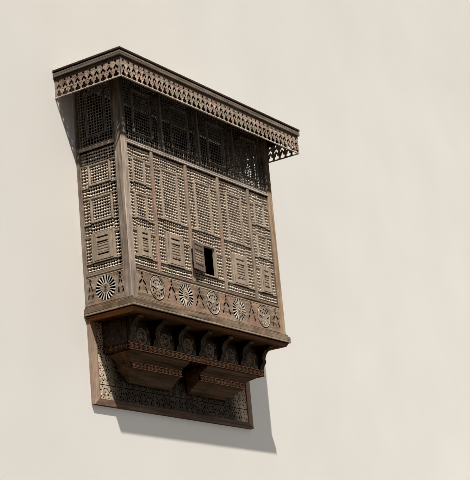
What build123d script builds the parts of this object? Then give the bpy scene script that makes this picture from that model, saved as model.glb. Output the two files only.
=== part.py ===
from build123d import *
import math
import os

os.makedirs("parts", exist_ok=True)

# A wall-hung wooden oriel with turned lattice screens, in millimetres.
# The wall face is the plane y = 0, the box comes forward along -y, x runs
# to the right as seen from the front, and the origin is on the wall face,
# in the middle of the wall boards below the corbels.

# ---- driving dimensions -------------------------------------------------
ZB = -330.0         # underside of the wall boards, the lowest edge
Z0 = ZB + 745.0     # underside of the base moulding's main board
HALF = 1200.0       # half width of the box
DEPTH = 494.0       # how far the box stands out from the wall
POST = 80.0         # corner post, square
REAR_T = 30.0       # thickness of the rear stiles against the wall
REAR_W = 80.0
BOX_TOP = Z0 + 2128.0

Z_APRON = Z0 + 340.0     # top of the carved apron, underside of the lower rail
Z_LOW = Z0 + 364.0       # top of the lower rail
Z_MID0 = Z0 + 1446.0     # underside of the mid rail
Z_MID1 = Z0 + 1478.0
Z_HEAD = Z0 + 2045.0     # underside of the head rail
RAIL_D = 50.0            # depth of the rails

MULL_X = (-766.0, -255.3, 255.3, 766.0)   # mullions of the main band
MULL_W = 40.0
TMULL_X = (-577.0, 0.0, 577.0)            # mullions of the upper band
TMULL_W = 26.0

LAT_IN = 18.0       # lattice face behind the post face
LAT_T = 14.0        # lattice thickness
BAR = 12.0          # bar width of the lattice
PITCH = 42.0        # lattice pitch in the borders
FINE = 38.0         # lattice pitch inside the frames
UPPER = 40.0        # lattice pitch of the upper band
RING_T = 10.0       # frames stand this far out of the lattice

LEAF_HX, LEAF_T = 101.0, 16.0     # hatch leaf: half width, thickness
LEAF_OPEN = 172.0                 # degrees the middle leaf stands open

CAN_HX, CAN_D = 1454.0, 737.0     # canopy boards
VAL_T = 14.0
VAL_Z0, VAL_Z1 = Z0 + 1900.0, Z0 + 2066.0

BAY_HX, BAY_D = 1040.0, 290.0     # corbel bay under the base
WALL_T = 35.0                     # stiles of the wall boards
WALL_W = 70.0


# ---- helpers ------------------------------------------------------------
def save(name, shapes):
    shapes = list(shapes) if isinstance(shapes, (list, tuple)) else [shapes]
    solids = [s for shape in shapes for s in shape.solids()]
    out = solids[0] if len(solids) == 1 else Compound(children=solids)
    out.label = name
    export_step(out, f"parts/{name}.step")
    print(name, len(solids))


def box(x0, x1, y0, y1, z0, z1):
    x0, x1 = sorted((x0, x1))
    y0, y1 = sorted((y0, y1))
    z0, z1 = sorted((z0, z1))
    return Pos((x0 + x1) / 2, (y0 + y1) / 2, (z0 + z1) / 2) * Box(x1 - x0, y1 - y0, z1 - z0)


def at(side, u, v, w):
    """A point of a face: u along it, v up, w behind the face's outer plane.
    On the front u is x; on the sides u is the distance from the wall."""
    if side == "front":
        return Vector(u, -DEPTH + w, v)
    if side == "left":
        return Vector(-HALF + w, -u, v)
    return Vector(HALF - w, -u, v)


def sheet(side, outline, holes, w0, w1):
    """A flat board with holes, between w0 and w1 behind the face."""
    def wire(pts):
        return Wire.make_polygon([at(side, u, v, w0) for u, v in pts], close=True)

    face = Face(wire(outline), [wire(h) for h in holes])
    step = at(side, 0, 0, w1) - at(side, 0, 0, w0)
    return Solid.extrude(face, step)


def rect(u0, u1, v0, v1):
    return [(u0, v0), (u1, v0), (u1, v1), (u0, v1)]


def grid(u0, u1, v0, v1, pu, pv, bar=BAR, edge=BAR / 2):
    """Square openings between crossing bars that fill a rectangle."""
    nu = max(1, round((u1 - u0) / pu))
    nv = max(1, round((v1 - v0) / pv))
    su, sv = (u1 - u0) / nu, (v1 - v0) / nv
    h = bar / 2
    return [
        rect(u0 + i * su + h, u0 + (i + 1) * su - h, v0 + j * sv + h, v0 + (j + 1) * sv - h)
        for i in range(nu)
        for j in range(nv)
    ]


def ring(side, u0, u1, v0, v1, m):
    """A flat frame on the face of the lattice."""
    return sheet(side, rect(u0, u1, v0, v1), [rect(u0 + m, u1 - m, v0 + m, v1 - m)],
                 LAT_IN - RING_T, LAT_IN)


def leaf_board(cu, h):
    """A hatch leaf: a board with three slots and a small lattice."""
    slot = h["slot"]
    holes = [rect(cu - slot, cu + slot, z - 4, z + 4) for z in h["slots"]]
    holes += grid(cu - slot, cu + slot, h["mesh"][0], h["mesh"][1], 22.0, 22.0, bar=9.0)
    return holes


def lattice(side, u0, u1, cu, frames, hatch, v0=Z_LOW, v1=Z_MID0):
    """One lattice panel. frames are (half, margin, v0, v1); hatch is one of
    the hatches below."""
    holes = []
    fh = max([f[0] for f in frames] + [hatch["ring"][0]])
    # borders left and right of the frames, full height
    holes += grid(u0, cu - fh, v0, v1, PITCH, PITCH)
    holes += grid(cu + fh, u1, v0, v1, PITCH, PITCH)
    # bands between the frames
    levels = sorted([(f[2], f[3]) for f in frames] + [hatch["ring"][1:]])
    z = v0
    for a, b in levels + [(v1, v1)]:
        if a - z > 20:
            holes += grid(cu - fh, cu + fh, z, a, PITCH, PITCH)
        z = b
    # fine lattice inside the frames
    for half, margin, a, b in frames:
        holes += grid(cu - half + margin, cu + half - margin, a + margin, b - margin, FINE, FINE)
    # hatch opening
    half, a, b = hatch["leaf"]
    holes.append(rect(cu - half + 10, cu + half - 10, a + 10, b - 10))
    return sheet(side, rect(u0, u1, v0, v1), holes, LAT_IN, LAT_IN + LAT_T)


def loft_levels(levels):
    """A solid through rectangles (z, x0, x1, y0, y1), from the bottom up."""
    parts = []
    for (za, *ra), (zb, *rb) in zip(levels, levels[1:]):
        def quad(z, r):
            x0, x1, y0, y1 = r
            return Wire.make_polygon([Vector(x0, y0, z), Vector(x1, y0, z),
                                      Vector(x1, y1, z), Vector(x0, y1, z)], close=True)
        parts.append(Solid.make_loft([quad(za, ra), quad(zb, rb)], ruled=True))
    out = parts[0]
    for part in parts[1:]:
        out = out + part
    return out


def mitred(z_levels, inner_x, inner_y, which):
    """A board of a three-sided moulding, mitred at the corners. z_levels are
    (z, how far its face stands out from the inner line), bottom up."""
    def quad(z, o):
        X, Y = inner_x + o, inner_y + o
        if which == "front":
            pts = [(-X, -Y), (X, -Y), (inner_x, -inner_y), (-inner_x, -inner_y)]
        elif which == "left":
            pts = [(-X, 0), (-X, -Y), (-inner_x, -inner_y), (-inner_x, 0)]
        else:
            pts = [(X, 0), (X, -Y), (inner_x, -inner_y), (inner_x, 0)]
        return Wire.make_polygon([Vector(x, y, z) for x, y in pts], close=True)

    parts = [Solid.make_loft([quad(*a), quad(*b)], ruled=True)
             for a, b in zip(z_levels, z_levels[1:]) if b[0] - a[0] > 0.01]
    out = parts[0]
    for part in parts[1:]:
        out = out + part
    return out


# ---- canopy ---------------------------------------------------------------
save("roof_boards", box(-CAN_HX, CAN_HX, -CAN_D, 0, Z0 + 2128, Z0 + 2155))

FASCIA = [(Z0 + 2066, 22), (Z0 + 2085, 26), (Z0 + 2085.02, 36), (Z0 + 2128, 36)]
FX, FY = CAN_HX - 40.0, CAN_D - 40.0
save("fascia_front", mitred(FASCIA, FX, FY, "front"))
save("fascia_sides", [mitred(FASCIA, FX, FY, "left"), mitred(FASCIA, FX, FY, "right")])

VX, VY = 1427.0, 709.0     # outer face of the pierced valance


def valance_holes(centres):
    holes = []
    for c in centres:
        z = VAL_Z0
        holes.append([(c + 9.5 * math.cos(a), z + 150 + 9.5 * math.sin(a))
                      for a in (k * math.pi / 4 + math.pi / 8 for k in range(8))])
        holes.append([(c, z + 111), (c - 7, z + 104), (c - 23, z + 89), (c - 17, z + 86),
                      (c, z + 98), (c + 17, z + 86), (c + 23, z + 89), (c + 7, z + 104)])
        holes.append([(c, z + 58), (c - 10, z + 53), (c - 11, z + 43), (c - 6, z + 36),
                      (c - 22, z + 31), (c - 19, z + 18), (c - 9, z + 10), (c + 9, z + 10),
                      (c + 19, z + 18), (c + 22, z + 31), (c + 6, z + 36), (c + 11, z + 43),
                      (c + 10, z + 53)])
    return holes


VAL_NF, VAL_NS = 39, 10
front_c = [(-1391.0 + 2 * 1391.0 * i / (VAL_NF - 1)) for i in range(VAL_NF)]
side_c = [43.0 + 69.0 * i for i in range(VAL_NS)]
face = Face(Wire.make_polygon([Vector(x, -VY, z) for x, z in rect(-VX, VX, VAL_Z0, VAL_Z1)], close=True),
            [Wire.make_polygon([Vector(x, -VY, z) for x, z in h], close=True)
             for h in valance_holes(front_c)])
save("valance_front", Solid.extrude(face, Vector(0, VAL_T, 0)))
sides = []
for s in (-1, 1):
    face = Face(Wire.make_polygon([Vector(s * VX, -y, z)
                                   for y, z in rect(0, VY - VAL_T, VAL_Z0, VAL_Z1)], close=True),
                [Wire.make_polygon([Vector(s * VX, -y, z) for y, z in h], close=True)
                 for h in valance_holes(side_c)])
    sides.append(Solid.extrude(face, Vector(-s * VAL_T, 0, 0)))
save("valance_sides", sides)

# ---- box frame ------------------------------------------------------------
IN_X = HALF - POST
save("front_posts", [box(s * HALF, s * IN_X, -DEPTH, -DEPTH + POST, Z0, BOX_TOP) for s in (-1, 1)])
save("rear_stiles", [box(s * HALF, s * (HALF - REAR_W), -REAR_T, 0, Z0, BOX_TOP) for s in (-1, 1)])


def rails(z0, z1, depth):
    y1 = -DEPTH + POST
    return [box(-IN_X, IN_X, -DEPTH, -DEPTH + depth, z0, z1),
            box(-HALF, -HALF + depth, y1, -REAR_T, z0, z1),
            box(HALF, HALF - depth, y1, -REAR_T, z0, z1)]


save("head_rails", rails(Z_HEAD, BOX_TOP, RAIL_D))
save("mid_rails", rails(Z_MID0, Z_MID1, RAIL_D))
save("lower_rails", rails(Z_APRON, Z_LOW, RAIL_D))
save("mullions", [box(x - MULL_W / 2, x + MULL_W / 2, -DEPTH + 4, -DEPTH + RAIL_D, Z_LOW, Z_MID0)
                  for x in MULL_X])
save("upper_mullions", [box(x - TMULL_W / 2, x + TMULL_W / 2, -DEPTH + 6, -DEPTH + RAIL_D,
                            Z_MID1, Z_HEAD) for x in TMULL_X])

# ---- lattice panels of the main band --------------------------------------
M = MULL_W / 2
SIDE0, SIDE1 = REAR_T, DEPTH - POST
WIDE_FRAMES = [(130.0, 26.0, Z0 + 854, Z0 + 1334)]
SLIM_FRAMES = [(91.0, 26.0, Z0 + 1110, Z0 + 1344), (91.0, 26.0, Z0 + 790, Z0 + 1024)]
SIDE_FRAMES = [(122.0, 26.0, Z0 + 1122, Z0 + 1322), (122.0, 26.0, Z0 + 792, Z0 + 1026)]
# hatches: ring and leaf are (half width, bottom, top)
WIDE_HATCH = {"ring": (127.0, Z0 + 450, Z0 + 738), "leaf": (LEAF_HX, Z0 + 466, Z0 + 722),
              "slot": 64.0, "slots": (Z0 + 692, Z0 + 646, Z0 + 514), "mesh": (Z0 + 530, Z0 + 630)}
SLIM_HATCH = {"ring": (91.0, Z0 + 450, Z0 + 710), "leaf": (64.0, Z0 + 464, Z0 + 698),
              "slot": 40.0, "slots": (Z0 + 661, Z0 + 615, Z0 + 508), "mesh": (Z0 + 524, Z0 + 600)}
SIDE_HATCH = {"ring": (122.0, Z0 + 444, Z0 + 702), "leaf": (98.0, Z0 + 458, Z0 + 690),
              "slot": 61.0, "slots": (Z0 + 654, Z0 + 612, Z0 + 506), "mesh": (Z0 + 522, Z0 + 598)}
PANELS = {
    "lattice_1": ("front", -IN_X, MULL_X[0] - M, (-IN_X + MULL_X[0] - M) / 2, SLIM_FRAMES, SLIM_HATCH),
    "lattice_2": ("front", MULL_X[0] + M, MULL_X[1] - M, (MULL_X[0] + MULL_X[1]) / 2, WIDE_FRAMES, WIDE_HATCH),
    "lattice_3": ("front", MULL_X[1] + M, MULL_X[2] - M, 0.0, WIDE_FRAMES, WIDE_HATCH),
    "lattice_4": ("front", MULL_X[2] + M, MULL_X[3] - M, (MULL_X[2] + MULL_X[3]) / 2, WIDE_FRAMES, WIDE_HATCH),
    "lattice_5": ("front", MULL_X[3] + M, IN_X, (IN_X + MULL_X[3] + M) / 2, SLIM_FRAMES, SLIM_HATCH),
    "lattice_left": ("left", SIDE0, SIDE1, (SIDE0 + SIDE1) / 2, SIDE_FRAMES, SIDE_HATCH),
    "lattice_right": ("right", SIDE0, SIDE1, (SIDE0 + SIDE1) / 2, SIDE_FRAMES, SIDE_HATCH),
}
rings, leaves = [], []
for name, (side, u0, u1, cu, frames, hatch) in PANELS.items():
    save(name, lattice(side, u0, u1, cu, frames, hatch))
    for half, margin, a, b in frames:
        rings.append(ring(side, cu - half, cu + half, a, b, margin))
    rh, ra, rb = hatch["ring"]
    lh, la, lb = hatch["leaf"]
    rings.append(sheet(side, rect(cu - rh, cu + rh, ra, rb),
                       [rect(cu - lh - 2, cu + lh + 2, la - 2, lb + 2)],
                       LAT_IN - RING_T, LAT_IN))
    if name != "lattice_3":
        leaves.append(sheet(side, rect(cu - lh, cu + lh, la, lb), leaf_board(cu, hatch),
                            LAT_IN - LEAF_T, LAT_IN))
save("panel_frames", rings)
save("closed_leaves", leaves)

# the middle leaf, swung back on its left edge
_, LA, LB = WIDE_HATCH["leaf"]
leaf = sheet("front", rect(-LEAF_HX, LEAF_HX, LA, LB), leaf_board(0.0, WIDE_HATCH),
             LAT_IN - LEAF_T, LAT_IN)
PIVOT = (-LEAF_HX - 1.0, -DEPTH + LAT_IN - LEAF_T - 1.0)
leaf = leaf.rotate(Axis((PIVOT[0], PIVOT[1], 0), (0, 0, 1)), -LEAF_OPEN)
save("open_leaf", leaf)
knuckles = []
for z in (LA + 45, LB - 45):
    plate = box(PIVOT[0] + 1, PIVOT[0] + 9, PIVOT[1] - 13, -DEPTH + LAT_IN, z - 15, z + 15)
    knuckles.append(plate - leaf)
save("leaf_hinges", knuckles)

# ---- lattice panels of the upper band --------------------------------------
TM = TMULL_W / 2
edges = [-IN_X] + [v for x in TMULL_X for v in (x - TM, x + TM)] + [IN_X]
for i in range(4):
    u0, u1 = edges[2 * i], edges[2 * i + 1]
    cu = (u0 + u1) / 2
    holes = grid(u0, cu - 138, Z_MID1, Z_HEAD, UPPER, UPPER)
    holes += grid(cu + 138, u1, Z_MID1, Z_HEAD, UPPER, UPPER)
    holes += grid(cu - 138, cu + 138, Z_MID1, Z_MID1 + 110, UPPER, UPPER)
    holes += grid(cu - 118, cu + 118, Z_MID1 + 130, Z_HEAD - 90, UPPER, UPPER)
    holes += grid(cu - 138, cu + 138, Z_HEAD - 70, Z_HEAD, UPPER, UPPER)
    save(f"upper_lattice_{i + 1}", sheet("front", rect(u0, u1, Z_MID1, Z_HEAD), holes,
                                         LAT_IN, LAT_IN + LAT_T))
for side in ("left", "right"):
    cu = (SIDE0 + SIDE1) / 2
    holes = grid(SIDE0, cu - 108, Z_MID1, Z_HEAD, UPPER, UPPER)
    holes += grid(cu + 108, SIDE1, Z_MID1, Z_HEAD, UPPER, UPPER)
    holes += grid(cu - 108, cu + 108, Z_MID1, Z_MID1 + 88, UPPER, UPPER)
    holes += grid(cu - 90, cu + 90, Z_MID1 + 106, Z_HEAD - 90, UPPER, UPPER)
    holes += grid(cu - 108, cu + 108, Z_HEAD - 70, Z_HEAD, UPPER, UPPER)
    save(f"upper_lattice_{side}", sheet(side, rect(SIDE0, SIDE1, Z_MID1, Z_HEAD), holes,
                                        LAT_IN, LAT_IN + LAT_T))

# ---- carved apron ----------------------------------------------------------
APRON_IN, APRON_T = 2.0, 24.0
ROS_R, ROS_Z = 113.0, Z0 + 206.0
ROS_X = [417.0 * k for k in (-2, -1, 0, 1, 2)]
MOTIF_X = [208.5 * k for k in (-5, -3, -1, 1, 3, 5)]


def motif(c, k=1.0):
    """A dot over an open chevron and two slanted slits; k narrows it."""
    z = ROS_Z
    return [[(c + 9 * math.cos(a), z + 86 + 9 * math.sin(a))
             for a in (i * math.pi / 4 + math.pi / 8 for i in range(8))],
            [(c, z + 52), (c - 8 * k, z + 42), (c - 42 * k, z + 6), (c - 30 * k, z + 0), (c, z + 28),
             (c + 30 * k, z + 0), (c + 42 * k, z + 6), (c + 8 * k, z + 42)],
            [(c - 34 * k, z - 52), (c - 24 * k, z - 56), (c - 36 * k, z - 86), (c - 48 * k, z - 82)],
            [(c + 34 * k, z - 52), (c + 24 * k, z - 56), (c + 36 * k, z - 86), (c + 48 * k, z - 82)]]


def rosette_cut(side, c, petals):
    """A carved disc: a sunk ring and petals cut into the board's face."""
    n = at(side, 0, 0, 1) - at(side, 0, 0, 0)
    u = at(side, 1, 0, 0) - at(side, 0, 0, 0)
    o = at(side, c, ROS_Z, APRON_IN)
    plane = Plane(origin=o, x_dir=u, z_dir=n)
    outer = Solid.extrude(Face(Wire.make_circle(ROS_R, plane), [Wire.make_circle(ROS_R - 9, plane)]),
                          n * 6.0)
    cuts = [outer]
    for k in range(petals):
        a = 2 * math.pi * (k + 0.5) / petals
        da = math.pi / petals * 0.42
        pts = []
        for r, d in ((38.0, -da), (38.0, da), (ROS_R - 16, da), (ROS_R - 16, -da)):
            pts.append(at(side, c + r * math.cos(a + d), ROS_Z + r * math.sin(a + d), APRON_IN))
        cuts.append(Solid.extrude(Face(Wire.make_polygon(pts, close=True)), n * 6.0))
    return cuts


def apron(side, u0, u1, motifs, rosettes, k=1.0):
    holes = [h for c in motifs for h in motif(c, k)]
    board = sheet(side, rect(u0, u1, Z0, Z_APRON), holes, APRON_IN, APRON_IN + APRON_T)
    cuts = [cut for c, petals in rosettes for cut in rosette_cut(side, c, petals)]
    return board.cut(*cuts)


save("apron_front", apron("front", -IN_X, IN_X, MOTIF_X,
                          [(x, 8 if i % 2 == 0 else 24) for i, x in enumerate(ROS_X)]))
SC = (SIDE0 + SIDE1) / 2
save("apron_sides", [apron(side, SIDE0, SIDE1, (SC - 157, SC + 157), [(SC, 24)], 0.66)
                     for side in ("left", "right")])

# ---- base ------------------------------------------------------------------
BASE = [(Z0, 27), (Z0 + 60, 27), (Z0 + 60.02, 12), (Z0 + 80, 10)]
save("base_front", mitred(BASE, HALF, DEPTH, "front"))
save("base_sides", [mitred(BASE, HALF, DEPTH, s) for s in ("left", "right")])
FIL_X, FIL_Y = HALF - 60.0, DEPTH - 60.0
FILLET = [(Z0 - 37, 52), (Z0, 75)]
save("fillet_front", mitred(FILLET, FIL_X, FIL_Y, "front"))
save("fillet_sides", [mitred(FILLET, FIL_X, FIL_Y, s) for s in ("left", "right")])
save("floor_boards", box(-FIL_X, FIL_X, -FIL_Y, 0, Z0 - 30, Z0))

# ---- corbel bay --------------------------------------------------------------
Z_SOF = Z0 - 30.0
Z_BAY = Z0 - 250.0
save("bay_panel", box(-BAY_HX, BAY_HX, -BAY_D, -BAY_D + 22, Z_BAY, Z_SOF))
save("bay_sides", [box(s * BAY_HX, s * (BAY_HX - 22), -BAY_D + 22, -WALL_T, Z_BAY, Z_SOF)
                   for s in (-1, 1)])

BR_X = [345.0 * k * (BAY_HX - 30) / 1035.0 for k in (-3, -2, -1, 0, 1, 2, 3)]
BR_W = 56.0
profile = [(-BAY_D, Z_SOF), (-430, Z_SOF), (-432, Z_SOF - 18), (-418, Z_SOF - 30),
           (-390, Z_SOF - 42), (-362, Z_SOF - 62), (-343, Z_SOF - 88), (-336, Z_SOF - 112),
           (-342, Z_SOF - 134), (-340, Z_SOF - 154), (-322, Z_SOF - 172), (-312, Z_SOF - 196),
           (-306, Z_SOF - 219), (-BAY_D, Z_SOF - 219)]
brackets = []
for x in BR_X:
    f = Face(Wire.make_polygon([Vector(x - BR_W / 2, y, z) for y, z in profile], close=True))
    brackets.append(Solid.extrude(f, Vector(BR_W, 0, 0)))
save("brackets", brackets)

Z_FR = Z0 - 306.0
save("frieze_upper", box(-BAY_HX - 4, BAY_HX + 4, -BAY_D - 14, -WALL_T, Z_FR, Z_BAY))

LEVELS = [(Z0 - 520, 50), (Z0 - 470, 110), (Z0 - 440, 150), (Z0 - 428, 176), (Z0 - 375, 182),
          (Z0 - 350, 214), (Z0 - 325, 268), (Z_FR, 284)]
corbels = []
for s in (-1, 1):
    corbels.append(loft_levels([(z, *sorted((s * 140.0, s * (695.0 + o))), -o, -WALL_T)
                                for z, o in LEVELS]))
save("corbels", corbels)
save("frieze_lower", [box(s * 140.0, s * 870.0, -190, -182, Z0 - 425, Z0 - 376) for s in (-1, 1)])

# ---- wall boards --------------------------------------------------------------
Z_WT = Z0 - 37.0


def xz_board(pts, y0, y1):
    f = Face(Wire.make_polygon([Vector(x, y0, z) for x, z in pts], close=True))
    return Solid.extrude(f, Vector(0, y1 - y0, 0))


W = WALL_W
ZS = ZB + 55.0      # top of the sill
save("wall_stiles", [xz_board([(s * HALF, ZB), (s * HALF, Z_WT), (s * (HALF - W), Z_WT),
                               (s * (HALF - W), ZS)], -WALL_T, 0) for s in (-1, 1)])
save("wall_sill", xz_board([(-HALF, ZB), (HALF, ZB), (HALF - W, ZS), (-HALF + W, ZS)], -WALL_T, 0))
PX = HALF - W
save("wall_panels", [box(-PX, PX, -22, 0, ZS, Z0 - 570),
                     box(-PX, PX, -22, 0, Z0 - 564, Z0 - 267),
                     box(-PX, PX, -22, 0, Z0 - 261, Z_WT)])
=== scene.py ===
import math

import bpy
import numpy as np
from mathutils import Matrix, Vector
from mathutils.geometry import tessellate_polygon


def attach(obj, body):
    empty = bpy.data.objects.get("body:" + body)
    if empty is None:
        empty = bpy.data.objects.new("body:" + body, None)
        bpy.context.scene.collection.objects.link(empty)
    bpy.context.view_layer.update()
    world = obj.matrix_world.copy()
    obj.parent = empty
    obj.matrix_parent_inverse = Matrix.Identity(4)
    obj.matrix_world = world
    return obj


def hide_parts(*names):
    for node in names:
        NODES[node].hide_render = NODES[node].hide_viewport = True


# A wall-hung wooden oriel with turned lattice screens. The CAD frame is loaded
# first; every piece below is made in its millimetres and placed in its frame.
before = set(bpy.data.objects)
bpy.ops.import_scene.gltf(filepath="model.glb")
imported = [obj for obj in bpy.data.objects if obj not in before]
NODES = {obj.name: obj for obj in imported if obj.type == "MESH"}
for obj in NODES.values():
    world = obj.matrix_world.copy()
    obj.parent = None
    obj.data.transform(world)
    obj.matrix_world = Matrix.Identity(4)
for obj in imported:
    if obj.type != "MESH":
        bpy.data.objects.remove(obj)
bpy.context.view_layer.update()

# ---- sizes of the CAD part, in millimetres -----------------------------------
ZB = -330.0
Z0 = ZB + 745.0
HALF, DEPTH, POST = 1200.0, 494.0, 80.0
REAR_T, REAR_W = 30.0, 80.0
IN_X = HALF - POST
Z_TOP = Z0 + 2128.0
Z_APRON, Z_LOW = Z0 + 340.0, Z0 + 364.0
Z_MID0, Z_MID1 = Z0 + 1446.0, Z0 + 1478.0
Z_HEAD = Z0 + 2045.0
RAIL_D = 50.0
MULL_X, MULL_W = (-766.0, -255.3, 255.3, 766.0), 40.0
TMULL_X, TMULL_W = (-577.0, 0.0, 577.0), 26.0
LAT_IN, LAT_T = 18.0, 14.0
LAT_C = -(LAT_IN + LAT_T / 2)      # middle of the lattice, behind the post face
CAN_HX, CAN_D = 1454.0, 737.0
VX, VY, VAL_T = 1431.0, 713.0, 14.0      # outer face of the pierced board
VAL_Z0, VAL_Z1 = Z0 + 1900.0, Z0 + 2066.0
BAY_HX, BAY_D = 1040.0, 290.0
WALL_T, WALL_W = 35.0, 70.0
SIDE0, SIDE1 = REAR_T, DEPTH - POST
SIDE_C = (SIDE0 + SIDE1) / 2

FRONT, LEFT, RIGHT = ("F", DEPTH), ("L", HALF), ("R", HALF)


# ---- mesh making ---------------------------------------------------------------
def put(where, P):
    """Points (u, v, n) of a face, in millimetres, to metres of the row frame.
    u runs along the face, v up, n out of it. Returns the points and whether
    the faces have to be turned over."""
    kind, off = where
    u, v, n = P[:, 0], P[:, 1], P[:, 2]
    if kind == "F":
        Q = np.stack([u, -off - n, v], 1)
    elif kind == "L":
        Q = np.stack([-off - n, -u, v], 1)
    elif kind == "R":
        Q = np.stack([off + n, -u, v], 1)
    elif kind == "B":      # looking up from below: u is x, v is -y, n is down
        Q = np.stack([u, -v, off - n], 1)
    elif kind == "T":      # looking down from above: u is x, v is y, n is up
        Q = np.stack([u, v, off + n], 1)
    elif kind == "LEAF":   # the open hatch leaf: turned about its hinge line
        px, py, ang, sd = off
        x, y = u - px, -sd - n - py
        c, s = math.cos(ang), math.sin(ang)
        Q = np.stack([px + c * x - s * y, py + s * x + c * y, v], 1)
    return Q * 0.001, kind in ("R", "B")


class Piece:
    """A mesh collected from many small shapes."""

    def __init__(self, name, slot, mats, replaces=(), smooth=()):
        self.name, self.slot, self.mats, self.replaces = name, slot, mats, replaces
        self.V, self.F, self.n, self.smooth = [], [], 0, smooth

    def add(self, shape, where=FRONT, mat=0, smooth=False):
        V, faces = shape
        V = np.asarray(V, float).reshape(-1, 3)
        Q, flip = put(where, V)
        for f in faces:
            f = np.asarray(f, np.int64)
            if f.size:
                f = f + self.n
                self.F.append((f[:, ::-1] if flip else f, mat, smooth))
        self.V.append(Q)
        self.n += len(V)
        return self

    def pierced(self, shape, where, mat=0, wall=2):
        """A board with holes: its faces in one wood, the cut edges in another; in every piece here that is the
        near-black painted-shade wood, which paints the holes' walls as shade.
        """
        V, (top, under, walls) = shape
        self.add((V, [top, under]), where, mat)
        return self.add((V, [walls]), where, wall)

    def make(self):
        V = np.concatenate(self.V)
        me = bpy.data.meshes.new(self.name)
        loops = np.concatenate([f.reshape(-1) for f, _, _ in self.F]).astype(np.int32)
        totals = np.concatenate([np.full(len(f), f.shape[1]) for f, _, _ in self.F]).astype(np.int32)
        mats = np.concatenate([np.full(len(f), m) for f, m, _ in self.F]).astype(np.int32)
        smooth = np.concatenate([np.full(len(f), s) for f, _, s in self.F]).astype(bool)
        starts = np.concatenate([[0], np.cumsum(totals)[:-1]]).astype(np.int32)
        me.vertices.add(len(V))
        me.vertices.foreach_set("co", V.astype(np.float32).reshape(-1))
        me.loops.add(len(loops))
        me.loops.foreach_set("vertex_index", loops)
        me.polygons.add(len(totals))
        me.polygons.foreach_set("loop_start", starts)
        me.polygons.foreach_set("loop_total", totals)
        me.polygons.foreach_set("material_index", mats)
        me.polygons.foreach_set("use_smooth", smooth)
        me.update(calc_edges=True)
        me.validate()
        for m in self.mats:
            me.materials.append(m)
        o = bpy.data.objects.new(self.name, me)
        bpy.context.scene.collection.objects.link(o)
        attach(o, "root")
        if self.replaces:
            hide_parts(*self.replaces)
        TRIS[self.name] = int((totals - 2).sum())
        return o


TRIS = {}


def area(poly):
    p = np.asarray(poly, float)
    q = np.roll(p, -1, 0)
    return 0.5 * float((p[:, 0] * q[:, 1] - q[:, 0] * p[:, 1]).sum())


def ccw(poly):
    return poly if area(poly) > 0 else poly[::-1]


def fill(loops):
    """Triangles that fill flat loops, holes left open, all counter-clockwise."""
    flat = [p for loop in loops for p in loop]
    tris = tessellate_polygon([[Vector((x, y, 0.0)) for x, y in loop] for loop in loops])
    out = []
    for a, b, c in tris:
        s = area([flat[a], flat[b], flat[c]])
        if abs(s) > 1e-9:
            out.append((a, b, c) if s > 0 else (a, c, b))
    return np.array(out, np.int64)


def sheet(outer, holes, n0, n1, bevel=0.0):
    """A flat board with holes, from n0 (back) to n1 (front)."""
    outer = [tuple(p) for p in ccw([tuple(p) for p in outer])]
    loops = [outer] + [ccw([tuple(p) for p in h])[::-1] for h in holes]
    pts = np.array([p for loop in loops for p in loop], float)
    T = fill(loops)
    N = len(pts)
    V = np.concatenate([np.c_[pts, np.full(N, n0)], np.c_[pts, np.full(N, n1)]])
    quads, k = [], 0
    for loop in loops:
        m = len(loop)
        i = np.arange(m)
        j = (i + 1) % m
        quads.append(np.stack([k + i, k + j, N + k + j, N + k + i], 1))
        k += m
    return V, [T + N, T[:, ::-1], np.concatenate(quads)]


def prism(poly, a0, a1, axis):
    """A polygon extruded along u (poly in v, n), v (poly in n, u) or n (poly in u, v)."""
    poly = ccw([tuple(p) for p in poly])
    T = fill([poly])
    m = len(poly)
    p = np.array(poly, float)

    def ring(a):
        c = np.full(m, a)
        return {"u": np.c_[c, p[:, 0], p[:, 1]], "v": np.c_[p[:, 1], c, p[:, 0]],
                "n": np.c_[p[:, 0], p[:, 1], c]}[axis]

    i = np.arange(m)
    j = (i + 1) % m
    return (np.concatenate([ring(a0), ring(a1)]),
            [T[:, ::-1], T + m, np.stack([i, j, j + m, i + m], 1)])


def block(u0, u1, v0, v1, n0, n1, ch=2.0):
    """A bar with chamfered front edges."""
    def r(d, n):
        return [(u0 + d, v0 + d, n), (u1 - d, v0 + d, n), (u1 - d, v1 - d, n), (u0 + d, v1 - d, n)]
    V = r(0, n0) + r(0, n1 - ch) + r(ch, n1)
    F = [(3, 2, 1, 0), (8, 9, 10, 11)]
    for b in (0, 4):
        for i in range(4):
            j = (i + 1) % 4
            F.append((b + i, b + j, b + 4 + j, b + 4 + i))
    return np.array(V, float), [np.array(F)]


def frame_ring(u0, u1, v0, v1, prof):
    """A mitred frame: prof is a closed section (inward from the outer edge, height)."""
    prof = ccw(list(prof))
    m = len(prof)
    V = []
    for su, sv in ((0, 0), (1, 0), (1, 1), (0, 1)):
        for t, n in prof:
            V.append((u1 - t if su else u0 + t, v1 - t if sv else v0 + t, n))
    F = []
    for k in range(4):
        for i in range(m):
            j = (i + 1) % m
            k2 = (k + 1) % 4
            F.append((k * m + i, k * m + j, k2 * m + j, k2 * m + i))
    # faces run with the side's direction, so the section's turn is kept
    return np.array(V, float), [np.array(F)[:, ::-1]]


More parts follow.
